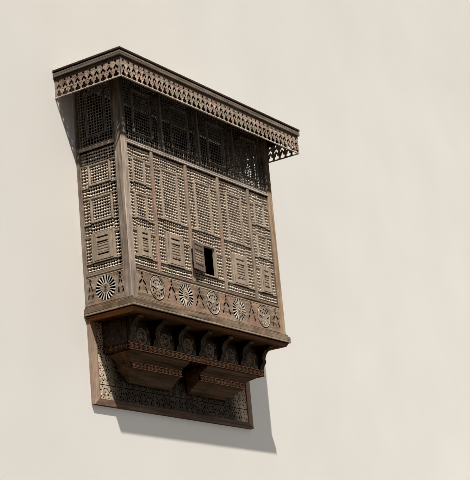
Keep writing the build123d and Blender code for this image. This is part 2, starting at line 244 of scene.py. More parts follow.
def turned(a0, a1, count, bs, c, prof, seg, axis, squash=1.0):
    """Turned bars along one axis, one for each value in bs. prof is (s, r) for
    one pitch; c is the height of the bar's middle."""
    s = np.array([p[0] for p in prof])
    r = np.array([p[1] for p in prof])
    S = np.concatenate([(np.arange(count)[:, None] + s[None, :]).reshape(-1), [count]])
    R = np.concatenate([np.tile(r, count), [r[0]]])
    A = a0 + S * (a1 - a0) / count
    t = (np.arange(seg) + 0.5) * 2 * np.pi / seg
    nb, nr = len(bs), len(A)
    b = np.asarray(bs, float)[:, None, None] + (R[:, None] * np.cos(t)[None, :])[None]
    n = c + np.broadcast_to((R[:, None] * np.sin(t)[None, :])[None] * squash, b.shape)
    a = np.broadcast_to(A[None, :, None], b.shape)
    if axis == "u":
        V = np.stack([a, b, n], -1)
        turn = False
    else:
        V = np.stack([b, a, n], -1)
        turn = True
    idx = np.arange(nb * nr * seg).reshape(nb, nr, seg)
    i0, i1 = idx[:, :-1, :], idx[:, 1:, :]
    q = np.stack([i0, np.roll(i0, -1, 2), np.roll(i1, -1, 2), i1], -1).reshape(-1, 4)
    caps0 = idx[:, 0, :]
    caps1 = idx[:, -1, :]
    if turn:
        q, caps0, caps1 = q[:, ::-1], caps0[:, ::-1], caps1[:, ::-1]
    return V.reshape(-1, 3), [q, caps0[:, ::-1], caps1]


def polar(cx, cy, radii, thetas, H):
    """A round relief: heights H[ring, angle] at the radii, closed in the middle."""
    nr, nt = H.shape
    r = np.asarray(radii)[:, None]
    V = np.stack([cx + r * np.cos(thetas)[None], cy + r * np.sin(thetas)[None], H], -1)
    idx = np.arange(nr * nt).reshape(nr, nt)
    a, b = idx[:-1], idx[1:]
    q = np.stack([a, b, np.roll(b, -1, 1), np.roll(a, -1, 1)], -1).reshape(-1, 4)
    mid = np.array([[cx, cy, float(H[0].mean())]])
    fan = np.stack([np.full(nt, nr * nt), idx[0], np.roll(idx[0], -1)], 1)
    return np.concatenate([V.reshape(-1, 3), mid]), [q, fan]


def ribbon(path, width, n0, h, closed=False, flat=0.45):
    """A raised rib along a path on a board; width may be one number or one for each point."""
    P = np.asarray(path, float)
    w = np.broadcast_to(np.asarray(width, float), (len(P),))
    hh = np.broadcast_to(np.asarray(h, float), (len(P),))
    if closed:
        d = np.roll(P, -1, 0) - np.roll(P, 1, 0)
    else:
        d = np.gradient(P, axis=0)
    d /= np.linalg.norm(d, axis=1)[:, None] + 1e-9
    nrm = np.stack([-d[:, 1], d[:, 0]], 1)
    rings = []
    for k, e in ((-0.5, 0.0), (-0.5 * flat, 1.0), (0.5 * flat, 1.0), (0.5, 0.0)):
        rings.append(np.c_[P + nrm * (w * k)[:, None], n0 + hh * e])
    V = np.stack(rings, 1)
    m = len(P)
    idx = np.arange(m * 4).reshape(m, 4)
    a = idx if closed else idx[:-1]
    b = np.roll(idx, -1, 0) if closed else idx[1:]
    q = np.stack([a, b, np.roll(b, -1, 1), np.roll(a, -1, 1)], -1).reshape(-1, 4)
    faces = [q]
    if not closed:
        faces.append(np.array([idx[0], idx[-1][::-1]]))
    return V.reshape(-1, 3), faces


def leaflet(cx, cy, ang, length, wide, n0, h, lobes=1):
    """A small raised leaf with a ridge."""
    t = np.array([0.0, 0.25, 0.55, 0.8, 1.0])
    w = np.array([0.12, 0.8, 1.0, 0.6, 0.0]) * wide / 2
    left = np.c_[t * length, w]
    right = np.c_[t[:-1][::-1] * length, -w[:-1][::-1]]
    out = np.concatenate([left, right])
    ridge = np.array([[0.12 * length, 0], [0.5 * length, 0], [0.85 * length, 0]])
    c, s = math.cos(ang), math.sin(ang)
    R = np.array([[c, s], [-s, c]])
    o = out @ R + (cx, cy)
    g = ridge @ R + (cx, cy)
    m = len(o)
    V = np.concatenate([np.c_[o, np.full(m, n0)], np.c_[g, np.full(3, n0 + h)]])
    r0, r1, r2 = m, m + 1, m + 2
    F = [(r0, 0, 8), (r0, 1, 0), (r0, r1, 1), (r1, 2, 1), (r1, r2, 2), (r2, 3, 2), (r2, 4, 3),
         (r2, 5, 4), (r2, r1, 5), (r1, 6, 5), (r1, r0, 6), (r0, 7, 6), (r0, 8, 7)]
    base = [tuple(range(m))]
    return V, [np.array(F), np.array(base)]


def boss(cx, cy, r, n0, h, seg=10):
    t = np.arange(seg) * 2 * np.pi / seg
    return polar(cx, cy, [r * 0.35, r * 0.75, r], t,
                 np.stack([np.full(seg, n0 + h), np.full(seg, n0 + h * 0.8), np.full(seg, n0)]))


def circle(cx, cy, r, seg, turn=0.0):
    return [(cx + r * math.cos(t), cy + r * math.sin(t))
            for t in (2 * math.pi * (k + turn) / seg for k in range(seg))]


def spiral(cx, cy, r0, r1, a0, turns, k=14):
    t = np.linspace(0, 1, k)
    r = r0 + (r1 - r0) * t
    a = a0 + turns * 2 * np.pi * t
    return np.c_[cx + r * np.cos(a), cy + r * np.sin(a)]


# ---- materials -----------------------------------------------------------------
def lin(r, g, b):
    return tuple(((c / 255) / 12.92 if c / 255 <= 0.04045 else ((c / 255 + 0.055) / 1.055) ** 2.4)
                 for c in (r, g, b)) + (1.0,)


def wood(name, dark, base, light, patch=None, axis="x", patch_amount=0.45, rough=(0.62, 0.9),
         grain=1.0, bump=0.35, beads=None, edge=0.0, dirt=0.35, streak=0.0, patch_scale=2.2,
         cracks=0.5, gain=(1.0, 1.0, 1.0), weathering_and_painted_shade=None, contrast=1.0):
    """Weathered wood. axis is the grain direction. dark, base and light are
    linear colours; patch is a second tone that comes and goes."""
    dark, base, light = (tuple(min(0.95, a * g) for a, g in zip(c, gain)) + (1.0,) for c in (dark, base, light))
    if patch is not None:
        patch = tuple(min(0.95, a * g) for a, g in zip(patch, gain)) + (1.0,)
    m = bpy.data.materials.new(name)
    m.use_nodes = True
    nt = m.node_tree
    N, L = nt.nodes, nt.links
    bsdf = N["Principled BSDF"]
    co = N.new("ShaderNodeTexCoord")

    def mapped(sx, sy, sz, off=0.0):
        mp = N.new("ShaderNodeMapping")
        mp.inputs["Scale"].default_value = (sx, sy, sz)
        mp.inputs["Location"].default_value = (off, off * 0.7, off * 1.3)
        L.new(co.outputs["Object"], mp.inputs["Vector"])
        return mp.outputs[0]

    def noise(vec, scale, detail=4.0, rough_=0.6, dist=0.0):
        n = N.new("ShaderNodeTexNoise")
        n.inputs["Scale"].default_value = scale
        n.inputs["Detail"].default_value = detail
        n.inputs["Roughness"].default_value = rough_
        n.inputs["Distortion"].default_value = dist
        L.new(vec, n.inputs["Vector"])
        return n.outputs["Fac"]

    def ramp(fac, stops):
        r = N.new("ShaderNodeValToRGB")
        cr = r.color_ramp
        while len(cr.elements) < len(stops):
            cr.elements.new(0.5)
        for e, (p, c) in zip(cr.elements, stops):
            e.position = p
            e.color = c
        L.new(fac, r.inputs["Fac"])
        return r.outputs["Color"]

    def mix(fac, a, b, blend="MIX"):
        x = N.new("ShaderNodeMix")
        x.data_type = "RGBA"
        x.blend_type = blend
        if isinstance(fac, float):
            x.inputs[0].default_value = fac
        else:
            L.new(fac, x.inputs[0])
        for sock, val in ((x.inputs[6], a), (x.inputs[7], b)):
            if isinstance(val, tuple):
                sock.default_value = val
            else:
                L.new(val, sock)
        return x.outputs[2]

    def math_(op, a, b):
        x = N.new("ShaderNodeMath")
        x.operation = op
        for sock, val in ((x.inputs[0], a), (x.inputs[1], b)):
            if isinstance(val, float):
                sock.default_value = val
            else:
                L.new(val, sock)
        return x.outputs[0]

    g1, g2 = 1.3 * grain, 26.0 * grain
    sc = {"x": (g1, g2, g2), "y": (g2, g1, g2), "z": (g2, g2, g1), "n": (6.0, 6.0, 6.0)}[axis]
    f1, f2 = 5.0 * grain, 190.0 * grain
    sf = {"x": (f1, f2, f2), "y": (f2, f1, f2), "z": (f2, f2, f1), "n": (80.0, 80.0, 80.0)}[axis]
    gr = noise(mapped(*sc), 1.0, 6.0, 0.62, 0.9)
    fine = noise(mapped(*sf, off=3.1), 1.0, 3.0, 0.6, 0.2)
    col = ramp(gr, [(0.49 - 0.19 / contrast, dark), (0.49, base), (0.49 + 0.20 / contrast, light)])
    if patch is not None:
        pf = noise(mapped(1.0, 1.0, 1.0, off=7.7), patch_scale, 3.0, 0.55, 0.4)
        pf = ramp(pf, [(0.46, (0, 0, 0, 1)), (0.62, (1, 1, 1, 1))])
        pf = math_("MULTIPLY", pf, patch_amount)
        col = mix(pf, col, patch)
    # fibres
    ff = ramp(fine, [(0.30, (0.55, 0.55, 0.55, 1)), (0.55, (1, 1, 1, 1)), (0.8, (1.12, 1.12, 1.12, 1))])
    col = mix(0.75, col, ff, "MULTIPLY")
    if beads:
        v = N.new("ShaderNodeTexVoronoi")
        v.inputs["Scale"].default_value = beads
        L.new(co.outputs["Object"], v.inputs["Vector"])
        bw = N.new("ShaderNodeSeparateColor")
        L.new(v.outputs["Color"], bw.inputs[0])
        bv = ramp(bw.outputs[0], [(0.0, (0.66, 0.62, 0.58, 1)), (0.5, (1, 1, 1, 1)), (1.0, (1.22, 1.18, 1.1, 1))])
        col = mix(0.8, col, bv, "MULTIPLY")
    if dirt:
        dn = noise(mapped(1.0, 1.0, 1.0, off=1.9), 7.0, 5.0, 0.7, 0.3)
        dn = ramp(dn, [(0.35, (0.45, 0.42, 0.4, 1)), (0.6, (1, 1, 1, 1))])
        col = mix(dirt, col, dn, "MULTIPLY")
    if streak:
        st = noise(mapped(14.0, 14.0, 0.7, off=5.2), 1.0, 3.0, 0.6, 0.1)
        st = ramp(st, [(0.35, (0.4, 0.38, 0.37, 1)), (0.55, (1, 1, 1, 1))])
        col = mix(streak, col, st, "MULTIPLY")
    if cracks:
        sk = {"x": (0.8, 60.0, 60.0), "y": (60.0, 0.8, 60.0), "z": (60.0, 60.0, 0.8), "n": (20.0, 20.0, 20.0)}[axis]
        ck = noise(mapped(*sk, off=9.3), 1.0, 2.0, 0.5, 0.15)
        ck = ramp(ck, [(0.30, (0.25, 0.22, 0.2, 1)), (0.36, (1, 1, 1, 1))])
        col = mix(cracks, col, ck, "MULTIPLY")
    if edge:
        ge = N.new("ShaderNodeNewGeometry")
        er = ramp(ge.outputs["Pointiness"], [(0.42, (0.35, 0.33, 0.32, 1)), (0.50, (1, 1, 1, 1)),
                                             (0.58, (1.45, 1.42, 1.38, 1))])
        col = mix(edge, col, er, "MULTIPLY")
    if weathering_and_painted_shade:
        # darker by place on the piece, partly weathering and partly painted shade (the canopy's and the bay's shadows):
        # (axis, from, to in metres, how dark); A is the distance from the middle
        sep = N.new("ShaderNodeSeparateXYZ")
        L.new(co.outputs["Object"], sep.inputs[0])
        wob = noise(mapped(1.0, 1.0, 1.0, off=4.4), 9.0, 3.0, 0.6, 0.0)
        for ax, s0, s1, deep in (weathering_and_painted_shade if isinstance(weathering_and_painted_shade, list) else [weathering_and_painted_shade]):
            sh = N.new("ShaderNodeMapRange")
            sh.inputs["From Min"].default_value = s0
            sh.inputs["From Max"].default_value = s1
            sh.inputs["To Min"].default_value = 1.0
            sh.inputs["To Max"].default_value = deep
            at = math_("ABSOLUTE", sep.outputs[0], 0.0) if ax == "A" else sep.outputs["XYZ".index(ax)]
            pos = math_("ADD", at, math_("MULTIPLY", wob, 0.04))
            L.new(pos, sh.inputs["Value"])
            cmb = N.new("ShaderNodeCombineColor")
            for k in range(3):
                L.new(sh.outputs[0], cmb.inputs[k])
            col = mix(1.0, col, cmb.outputs[0], "MULTIPLY")
    L.new(col, bsdf.inputs["Base Color"])
    rr = N.new("ShaderNodeMapRange")
    rr.inputs["From Min"].default_value = 0.3
    rr.inputs["From Max"].default_value = 0.7
    rr.inputs["To Min"].default_value = rough[1]
    rr.inputs["To Max"].default_value = rough[0]
    L.new(gr, rr.inputs["Value"])
    L.new(rr.outputs[0], bsdf.inputs["Roughness"])
    bsdf.inputs["Specular IOR Level"].default_value = 0.25
    hsum = math_("ADD", math_("MULTIPLY", gr, 0.6), math_("MULTIPLY", fine, 0.5))
    bp = N.new("ShaderNodeBump")
    bp.inputs["Strength"].default_value = bump
    bp.inputs["Distance"].default_value = 0.003
    L.new(hsum, bp.inputs["Height"])
    L.new(bp.outputs[0], bsdf.inputs["Normal"])
    return m


def C(*a):
    return (a[0], a[1], a[2], 1.0)


# post wood: darkened to 0.62 above 1.93 m, partly weathering and partly the canopy's shadow painted in
M_POST = wood("post_wood", C(.23, .175, .13), C(.385, .305, .235), C(.50, .41, .32), C(.40, .28, .225), "z",
              patch_amount=0.5, bump=0.6, streak=0.45, dirt=0.6, contrast=1.8, weathering_and_painted_shade=("Z", 1.88, 1.93, 0.62))
# front faces of the left post: a paler copy of the post wood, partly painted light on the sunlit front; darkened to
# 0.34 above 1.94 m, partly weathering and partly the canopy's shadow painted in; darker, to 0.60, below 0.72 m
M_POST_F = wood("post_front_wood", C(.35, .28, .22), C(.56, .465, .38), C(.70, .59, .49), C(.54, .41, .34), "z",
                patch_amount=0.6, bump=0.5, streak=0.3, contrast=1.6,
                weathering_and_painted_shade=[("Z", 1.90, 1.94, 0.34), ("Z", 0.84, 0.72, 0.60)])
# front faces of the right post: a paler copy of the post wood, partly painted light on the sunlit front; darkened to
# 0.34 above 1.94 m, partly weathering and partly the canopy's shadow painted in
M_POST_R = wood("right_post_wood", C(.27, .175, .11), C(.47, .33, .21), C(.60, .44, .29), C(.50, .29, .17), "z",
                patch_amount=0.7, bump=0.5, streak=0.2, weathering_and_painted_shade=("Z", 1.90, 1.94, 0.34))
M_RAIL = wood("rail_wood", C(.33, .275, .23), C(.57, .49, .42), C(.70, .62, .54), C(.56, .42, .36), "x",
              patch_amount=0.5, bump=0.5)
M_RAIL_Y = wood("rail_wood_side", C(.33, .24, .175), C(.58, .44, .335), C(.70, .56, .44), C(.57, .385, .295), "y",
                patch_amount=0.5, bump=0.5)
M_LOWRAIL = wood("lower_rail_wood", C(.12, .083, .056), C(.21, .155, .104), C(.29, .22, .156), C(.22, .14, .10), "x",
                 patch_amount=0.5, bump=0.5)
M_LOWRAIL_Y = wood("lower_rail_wood_side", C(.16, .115, .08), C(.28, .21, .145), C(.38, .29, .21), C(.28, .19, .14),
                   "y", patch_amount=0.5, bump=0.5)
M_MULL = wood("mullion_wood", C(.184, .138, .1012), C(.3358, .2622, .1932), C(.4324, .3496, .2668), C(.414, .2622, .2024), "z",
              patch_amount=0.8, bump=0.45, patch_scale=3.0)
M_LATV = wood("lattice_upright_wood", C(.14, .105, .075), C(.27, .215, .155), C(.38, .31, .235), C(.30, .235, .17), "z",
              patch_amount=0.7, bump=0.25, dirt=0.5, cracks=0.0)
M_LAT = wood("lattice_wood", C(.28, .215, .155), C(.64, .54, .445), C(.86, .77, .66), C(.70, .60, .50), "n",
             patch_amount=0.7, bump=0.25, beads=34.0, dirt=0.45, cracks=0.0)
# the side lattices take a paler copy of the lattice wood: partly painted light
M_LAT_S = wood("lattice_wood_side", C(.35, .27, .195), C(.79, .68, .56), C(.94, .87, .76), C(.82, .71, .59), "n",
               patch_amount=0.7, bump=0.25, beads=34.0, dirt=0.45, cracks=0.0)
M_FRAME = wood("frame_wood", C(.245, .19, .14), C(.44, .35, .265), C(.57, .465, .36), C(.49, .37, .30), "z",
               patch_amount=0.6, bump=0.4)
M_TAN = wood("hatch_wood", C(.24, .185, .135), C(.43, .34, .255), C(.55, .45, .345), C(.45, .34, .26), "z",
             patch_amount=0.6, bump=0.4)
M_LEAF = wood("open_leaf_wood", C(.11, .078, .062), C(.205, .15, .122), C(.30, .23, .19), C(.22, .14, .12), "z",
              patch_amount=0.6, bump=0.4, edge=0.3)
# upper lattice wood of the front: pale at its foot and darkened to 0.34 above 2.0 m, partly weathering and partly the
# canopy's shadow painted in, so the foot stays light where the sun comes under the valance
M_UP = wood("upper_wood", C(.18, .16, .135), C(.34, .305, .255), C(.47, .425, .36), C(.34, .28, .225), "n",
            patch_amount=0.6, bump=0.25, beads=34.0, cracks=0.0,
            weathering_and_painted_shade=("Z", 1.915, 2.0, 0.34))
# the side upper lattices take a darker copy of the upper wood: partly painted shade
M_UP_S = wood("upper_wood_side", C(.13, .115, .095), C(.25, .215, .18), C(.34, .30, .25), C(.26, .20, .16), "n",
              patch_amount=0.6, bump=0.25, beads=34.0, cracks=0.0)
M_UPBAR = wood("upper_bar_wood", C(.12, .10, .08), C(.22, .185, .15), C(.31, .265, .215), C(.22, .16, .125), "z",
               patch_amount=0.6, bump=0.4)
M_CARVE = wood("carved_wood", C(0.1700, 0.1170, 0.0774), C(0.3000, 0.2194, 0.1502), C(0.4100, 0.3120, 0.2230), C(0.3700, 0.2291, 0.1683), "x",
               patch_amount=0.8, bump=0.6, edge=0.35, patch_scale=3.4, dirt=0.6, contrast=2.0)
M_CARVE_Y = wood("carved_wood_side", C(.18, .13, .09), C(.32, .24, .175), C(.43, .34, .26), C(.40, .27, .19), "y",
                 patch_amount=0.8, bump=0.6, edge=0.35, patch_scale=3.4, dirt=0.6, contrast=2.0)
M_ROS = wood("rosette_wood", C(.26, .21, .16), C(.52, .44, .355), C(.72, .63, .53), C(.48, .385, .305), "n",
             patch_amount=0.5, bump=0.3, edge=0.4, dirt=0.35, cracks=0.0)
M_MED = wood("rosette_field_wood", C(0.172, 0.132, 0.096), C(0.343, 0.277, 0.213), C(0.475, 0.397, 0.318), C(0.317, 0.243, 0.183), "n",
             patch_amount=0.5, bump=0.3, edge=0.4, dirt=0.35, cracks=0.0)
M_BASE = wood("base_wood", C(.11, .08, .052), C(.235, .172, .115), C(.33, .255, .18), C(.28, .19, .13), "x",
              patch_amount=0.6, bump=0.8, dirt=0.85, contrast=2.4)
M_BASE_Y = wood("base_wood_side", C(0.0860, 0.0562, 0.0356), C(0.1720, 0.1197, 0.0776), C(0.2494, 0.1816, 0.1226), C(0.2580, 0.1486, 0.0791), "y",
                patch_amount=0.6, bump=0.8, dirt=0.85, contrast=2.4)
# the fillet's sides take a much brighter, redder copy of the front's wood: partly painted light, the ground's bounce on
# the side faces
M_FIL = wood("fillet_wood", C(.14, .065, .038), C(.26, .118, .06), C(.35, .165, .085), C(.17, .09, .055), "x",
             patch_amount=0.7, bump=0.4)
M_FIL_Y = wood("fillet_wood_side", C(.38, .14, .06), C(.66, .25, .11), C(.78, .33, .15), C(.46, .175, .08), "y",
               patch_amount=0.4, bump=0.4)
M_FAS = wood("fascia_wood", C(.12, .09, .07), C(.215, .168, .13), C(.30, .245, .195), C(.26, .18, .14), "x",
             patch_amount=0.5, bump=0.8, dirt=0.6, contrast=2.2)
M_FAS_Y = wood("fascia_wood_side", C(.105, .08, .062), C(.185, .15, .117), C(.27, .22, .18), C(.23, .17, .13), "y",
               patch_amount=0.5, bump=0.8, dirt=0.6, contrast=2.2)
M_FASD = wood("fascia_strip_wood", C(0.0585, 0.0416, 0.0273), C(0.1235, 0.0884, 0.0611), C(0.1950, 0.1495, 0.1105), None, "x", bump=0.4)
# the roof nosing is near-black: partly painted shade, the dark line under the roof's edge
M_NOSE = wood("roof_nosing_wood", C(.028, .018, .010), C(.052, .034, .021), C(.10, .07, .048), None, "x", bump=0.5)
M_RAY = wood("rosette_ray_wood", C(.4452, .3816, .318), C(.7844, .6996, .6042), C(.9752, .9116, .8268), C(.6996, .5936, .4876), "n",
             patch_amount=0.4, bump=0.25, cracks=0.0)
M_BASEBEAD = wood("base_bead_wood", C(.16, .12, .085), C(.34, .26, .19), C(.45, .36, .27), C(.38, .27, .19), "x",
                  patch_amount=0.5, bump=0.4)
M_ROOF = wood("roof_wood", C(.13, .115, .075), C(.245, .22, .15), C(.37, .34, .25), C(.27, .22, .16), "x", bump=0.6,
              contrast=1.6, dirt=0.6)
M_VAL = wood("valance_wood", C(.21, .14, .11), C(.40, .285, .23), C(.55, .43, .36), C(.34, .305, .235), "x",
             patch_amount=0.85, bump=0.35, patch_scale=8.0, edge=0.3, beads=38.0, contrast=1.8)
M_VAL_Y = wood("valance_wood_side", C(.235, .15, .12), C(.42, .295, .24), C(.55, .425, .35), C(.37, .325, .255), "y",
               patch_amount=0.85, bump=0.35, patch_scale=8.0, edge=0.3, beads=38.0, contrast=1.8)
M_VALEDGE = wood("valance_edge_wood", C(0.5152, 0.4368, 0.3696), C(0.8512, 0.7616, 0.6720), C(0.9500, 0.9408, 0.8512), C(0.6720, 0.5264, 0.4256), "n",
                 patch_amount=0.6, bump=0.3, dirt=0.4, patch_scale=6.0, cracks=0.0)
M_DARK = wood("underside_wood", C(.042, .035, .026), C(.09, .075, .056), C(.15, .126, .096), C(.12, .085, .06), "x",
              patch_amount=0.6, bump=0.5)
M_FLOOR = wood("floor_board_wood", C(.07, .055, .036), C(.14, .11, .072), C(.22, .175, .12), C(.18, .115, .07), "x",
               patch_amount=0.6, bump=0.5)
M_BRK = wood("bay_carving_wood", C(.1744, .1472, .109), C(.3597, .3052, .2344), C(.545, .4742, .376), C(.4578, .2889, .2017), "z",
             patch_amount=0.5, bump=0.4, edge=0.4, patch_scale=4.0)
M_BRK_D = wood("bracket_wood", C(.042, .034, .025), C(.08, .066, .049), C(.13, .108, .082), C(.15, .083, .053), "z",
               patch_amount=0.5, bump=0.4, patch_scale=4.0)
M_RED = wood("frieze_wood", C(.27, .145, .09), C(.58, .33, .205), C(.77, .49, .325), C(.68, .33, .20), "x",
             patch_amount=0.7, bump=0.4, edge=0.5, patch_scale=6.0)
# the frieze's ends take a darker copy of the frieze wood: partly painted shade
M_RED_S = wood("frieze_wood_side", C(.09, .055, .038), C(.20, .125, .085), C(.28, .19, .135), C(.22, .12, .075), "y",
               patch_amount=0.7, bump=0.4, edge=0.5, patch_scale=6.0)
# the carving on the bay's ends takes a darker copy of the bay carving wood: partly painted shade
M_BRK_S = wood("bay_side_carving_wood", C(.08, .062, .045), C(.165, .13, .095), C(.25, .205, .155), C(.20, .12, .08), "z",
               patch_amount=0.5, bump=0.4)
M_RIB = wood("bracket_rib_wood", C(.075, .066, .053), C(.165, .145, .115), C(.27, .235, .19), C(.28, .165, .11), "z",
             patch_amount=0.6, bump=0.3, patch_scale=3.0)
M_REDDOT = wood("bracket_tip_wood", C(.0875, .065, .0462), C(.175, .1313, .0938), C(.2625, .2, .15), None, "x", bump=0.4)
M_MOULD = wood("moulding_wood", C(.095, .065, .043), C(.205, .14, .095), C(.31, .22, .152), C(.28, .155, .10), "x",
               patch_amount=0.6, bump=0.4)
M_FRIEZE = wood("frieze_ground_wood", C(.03, .018, .012), C(.06, .036, .024), C(.10, .062, .042), None, "x", bump=0.3)
M_WALL = wood("wall_board_wood", C(0.2552, 0.1741, 0.1224), C(0.4466, 0.3259, 0.2360), C(0.5560, 0.4285, 0.3191), C(0.4922, 0.3214, 0.2360), "z",
              patch_amount=0.7, bump=0.5, streak=0.2)
# the wall carvings are darkened towards the middle, to 0.16 within 0.88 m, under the bay: partly weathering, partly the
# bay's shadow painted in
M_WALL_C = wood("wall_carving_wood", C(0.3646, 0.2768, 0.1923), C(0.6198, 0.5000, 0.3759), C(0.7473, 0.6339, 0.4983), C(0.6015, 0.4464, 0.3322), "n",
                patch_amount=0.5, bump=0.3, edge=0.4, cracks=0.0, weathering_and_painted_shade=("A", 1.06, 0.88, 0.16))
# the carving's ground likewise, to 0.26: partly weathering, partly the bay's shadow painted in
M_GROUND = wood("carving_ground_wood", C(.07, .052, .04), C(.13, .098, .075), C(.19, .145, .11), None, "z", bump=0.3,
                weathering_and_painted_shade=("A", 1.06, 0.88, 0.26))
# painted shade: a near-black wood for the walls of pierced holes and for dark strips under rails and frames, in grooves
# and behind slots, where shadow lines fall
M_PAINTED_SHADE = wood("painted_shade_wood", C(.016, .013, .010), C(.032, .026, .02), C(.055, .045, .035), None, "n", bump=0.2,
               cracks=0.0)
M_SILL = wood("sill_wood", C(.10, .06, .042), C(.20, .12, .085), C(.30, .20, .15), C(.16, .10, .075), "x", bump=0.5)
M_REDBEAD = wood("bead_wood", C(.18, .07, .045), C(.34, .14, .09), C(.42, .2, .13), None, "z", bump=0.3)
M_BLACK = wood("shadow_gap_wood", C(.012, .01, .008), C(.022, .018, .015), C(.04, .034, .028), None, "x", bump=0.3)


def iron(name):
    m = bpy.data.materials.new(name)
    m.use_nodes = True
    nt = m.node_tree
    b = nt.nodes["Principled BSDF"]
    co = nt.nodes.new("ShaderNodeTexCoord")
    n = nt.nodes.new("ShaderNodeTexNoise")
    n.inputs["Scale"].default_value = 160.0
    n.inputs["Detail"].default_value = 5.0
    r = nt.nodes.new("ShaderNodeValToRGB")
    r.color_ramp.elements[0].position, r.color_ramp.elements[0].color = 0.35, (0.03, 0.025, 0.022, 1)
    r.color_ramp.elements[1].position, r.color_ramp.elements[1].color = 0.7, (0.16, 0.075, 0.04, 1)
    bp = nt.nodes.new("ShaderNodeBump")
    bp.inputs["Strength"].default_value = 0.5
    bp.inputs["Distance"].default_value = 0.001
    nt.links.new(co.outputs["Object"], n.inputs["Vector"])
    nt.links.new(n.outputs["Fac"], r.inputs["Fac"])
    nt.links.new(n.outputs["Fac"], bp.inputs["Height"])
    nt.links.new(r.outputs["Color"], b.inputs["Base Color"])
    nt.links.new(bp.outputs[0], b.inputs["Normal"])
    b.inputs["Roughness"].default_value = 0.7
    b.inputs["Metallic"].default_value = 0.5
    return m


M_IRON = iron("hinge_iron")


def finish_node(name, mat):
    """A CAD node that stays gets its own wood or iron."""
    o = NODES[name]
    o.data.materials.clear()
    o.data.materials.append(mat)
    return o


# ---- turned lattice ----------------------------------------------------------------
# (position, radius in pitches of 28 mm) of a turned bar, bead in the middle of the pitch
P_MAIN = ((0.0, 4.6), (0.14, 3.4), (0.27, 7.9), (0.5, 9.8), (0.73, 7.9), (0.86, 3.4))
P_MAIN_V = ((0.0, 4.6), (0.12, 3.4), (0.88, 3.4))
P_FINE = ((0.0, 4.2), (0.12, 3.1), (0.25, 6.9), (0.5, 8.6), (0.75, 6.9), (0.88, 3.1))
P_FINE_V = ((0.0, 4.6), (0.14, 3.2), (0.86, 3.2))
P_UP = ((0.0, 4.4), (0.28, 4.4), (0.5, 7.6), (0.72, 4.4))
P_UP_V = ((0.0, 5.0), (0.5, 4.2))
UP_C = -13.0                       # the upper lattice stands nearer the face


def lattice(p, where, u0, u1, v0, v1, pu, pv, kind="main", c=LAT_C, mat=0):
    """Fills a rectangle with turned bars: a bead at each cell's middle."""
    if u1 - u0 < 8 or v1 - v0 < 8:
        return
    nu = max(1, round((u1 - u0) / pu))
    nv = max(1, round((v1 - v0) / pv))
    su, sv = (u1 - u0) / nu, (v1 - v0) / nv
    us = u0 + (np.arange(nu) + 0.5) * su
    vs = v0 + (np.arange(nv) + 0.5) * sv
    ph, pv_, seg, segv = {"main": (P_MAIN, P_MAIN_V, 8, 6), "fine": (P_FINE, P_FINE_V, 8, 6),
                          "upper": (P_UP, P_UP_V, 6, 6), "leaf": (P_LEAF, P_LEAF_V, 6, 4)}[kind]
    flat = 0.62 if kind == "upper" else 1.0
    p.add(turned(u0, u1, nu, vs, c, ph, seg, "u", flat), where, mat, True)
    p.add(turned(v0, v1, nv, us, c, pv_, segv, "v", flat), where, mat if kind == "upper" else 2, True)


P_LEAF = ((0.0, 4.8), (0.05, 3.9), (0.10, 5.6), (0.5, 6.0), (0.90, 5.6), (0.95, 3.9))
P_LEAF_V = ((0.0, 3.0), (0.5, 3.0))

# (inward, height) section of the frames round the panels, 26 mm wide
def frame_section(w, top=-(LAT_IN - 5.0), back=-(LAT_IN + LAT_T + 2.0)):
    return ((0, back), (w, back), (w, top - 8), (w - 7, top - 6.5), (w - 8.5, top - 0.8), (w - 10, top),
            (5.5, top), (4.0, top - 1.5), (2.5, top - 5), (0, top - 6))


def rail_bar(p, where, u0, u1, z, half=6.5, top=-13.0, mat=1):
    p.add(block(u0, u1, z - half, z + half, -(LAT_IN + LAT_T), top, 2.0), where, mat)


PU, PV = 28.0, 29.24
V_MAIN = (Z_LOW, Z_MID0)


def hatch_leaf(p, where, cu, h, mats=(0, 1), rear=2.0, front=-2.0, painted_shade_backing=None):
    """A hatch leaf: stiles and rails round three slots and a small lattice.
    front and rear are its faces, out of the post face."""
    half, z0, z1 = h["leaf"]
    s = h["slot"]
    top, back = front, -rear - 16.0 + 2.0
    zs = sorted(h["slots"])          # bottom slot, upper two
    m0, m1 = h["mesh"]
    sh = 7.0
    # stiles
    for a, b in ((cu - half, cu - s), (cu + s, cu + half)):
        p.add(block(a, b, z0, z1, back, top, 1.5), where, mats[1])
    # rails between the slots
    cuts = [z0, zs[0] - sh, zs[0] + sh, m0, m1, zs[1] - sh, zs[1] + sh, zs[2] - sh, zs[2] + sh, z1]
    for a, b in ((cuts[0], cuts[1]), (cuts[2], cuts[3]), (cuts[4], cuts[5]), (cuts[6], cuts[7]), (cuts[8], cuts[9])):
        p.add(block(cu - s, cu + s, a, b, back, top, 1.5), where, mats[1])
    # raised beads beside each slot
    for z in zs:
        # painted_shade_backing puts a dark board at the back of each slot: painted shade
        if painted_shade_backing is not None:
            p.add(block(cu - s, cu + s, z - sh, z + sh, back, back + 2.5, 0.5), where, painted_shade_backing)
        p.add(block(cu - s - 2, cu + s + 2, z + sh + 1.0, z + sh + 4.0, top - 0.5, top + 1.6, 1.0), where, mats[1])
    # slats before a thin board
    n = round((m1 - m0) / 25.0)
    sv = (m1 - m0) / n
    for i in range(n):
        z = m0 + (i + 0.5) * sv
        p.add(block(cu - s, cu + s, z - sv * 0.33, z + sv * 0.33, back + 2.0 if painted_shade_backing else top - 9.0, top - 2.0, 2.0),
              where, mats[0])
    if not painted_shade_backing:
        p.add(block(cu - s, cu + s, m0, m1, back, top - 8.5, 0.5), where, mats[1])


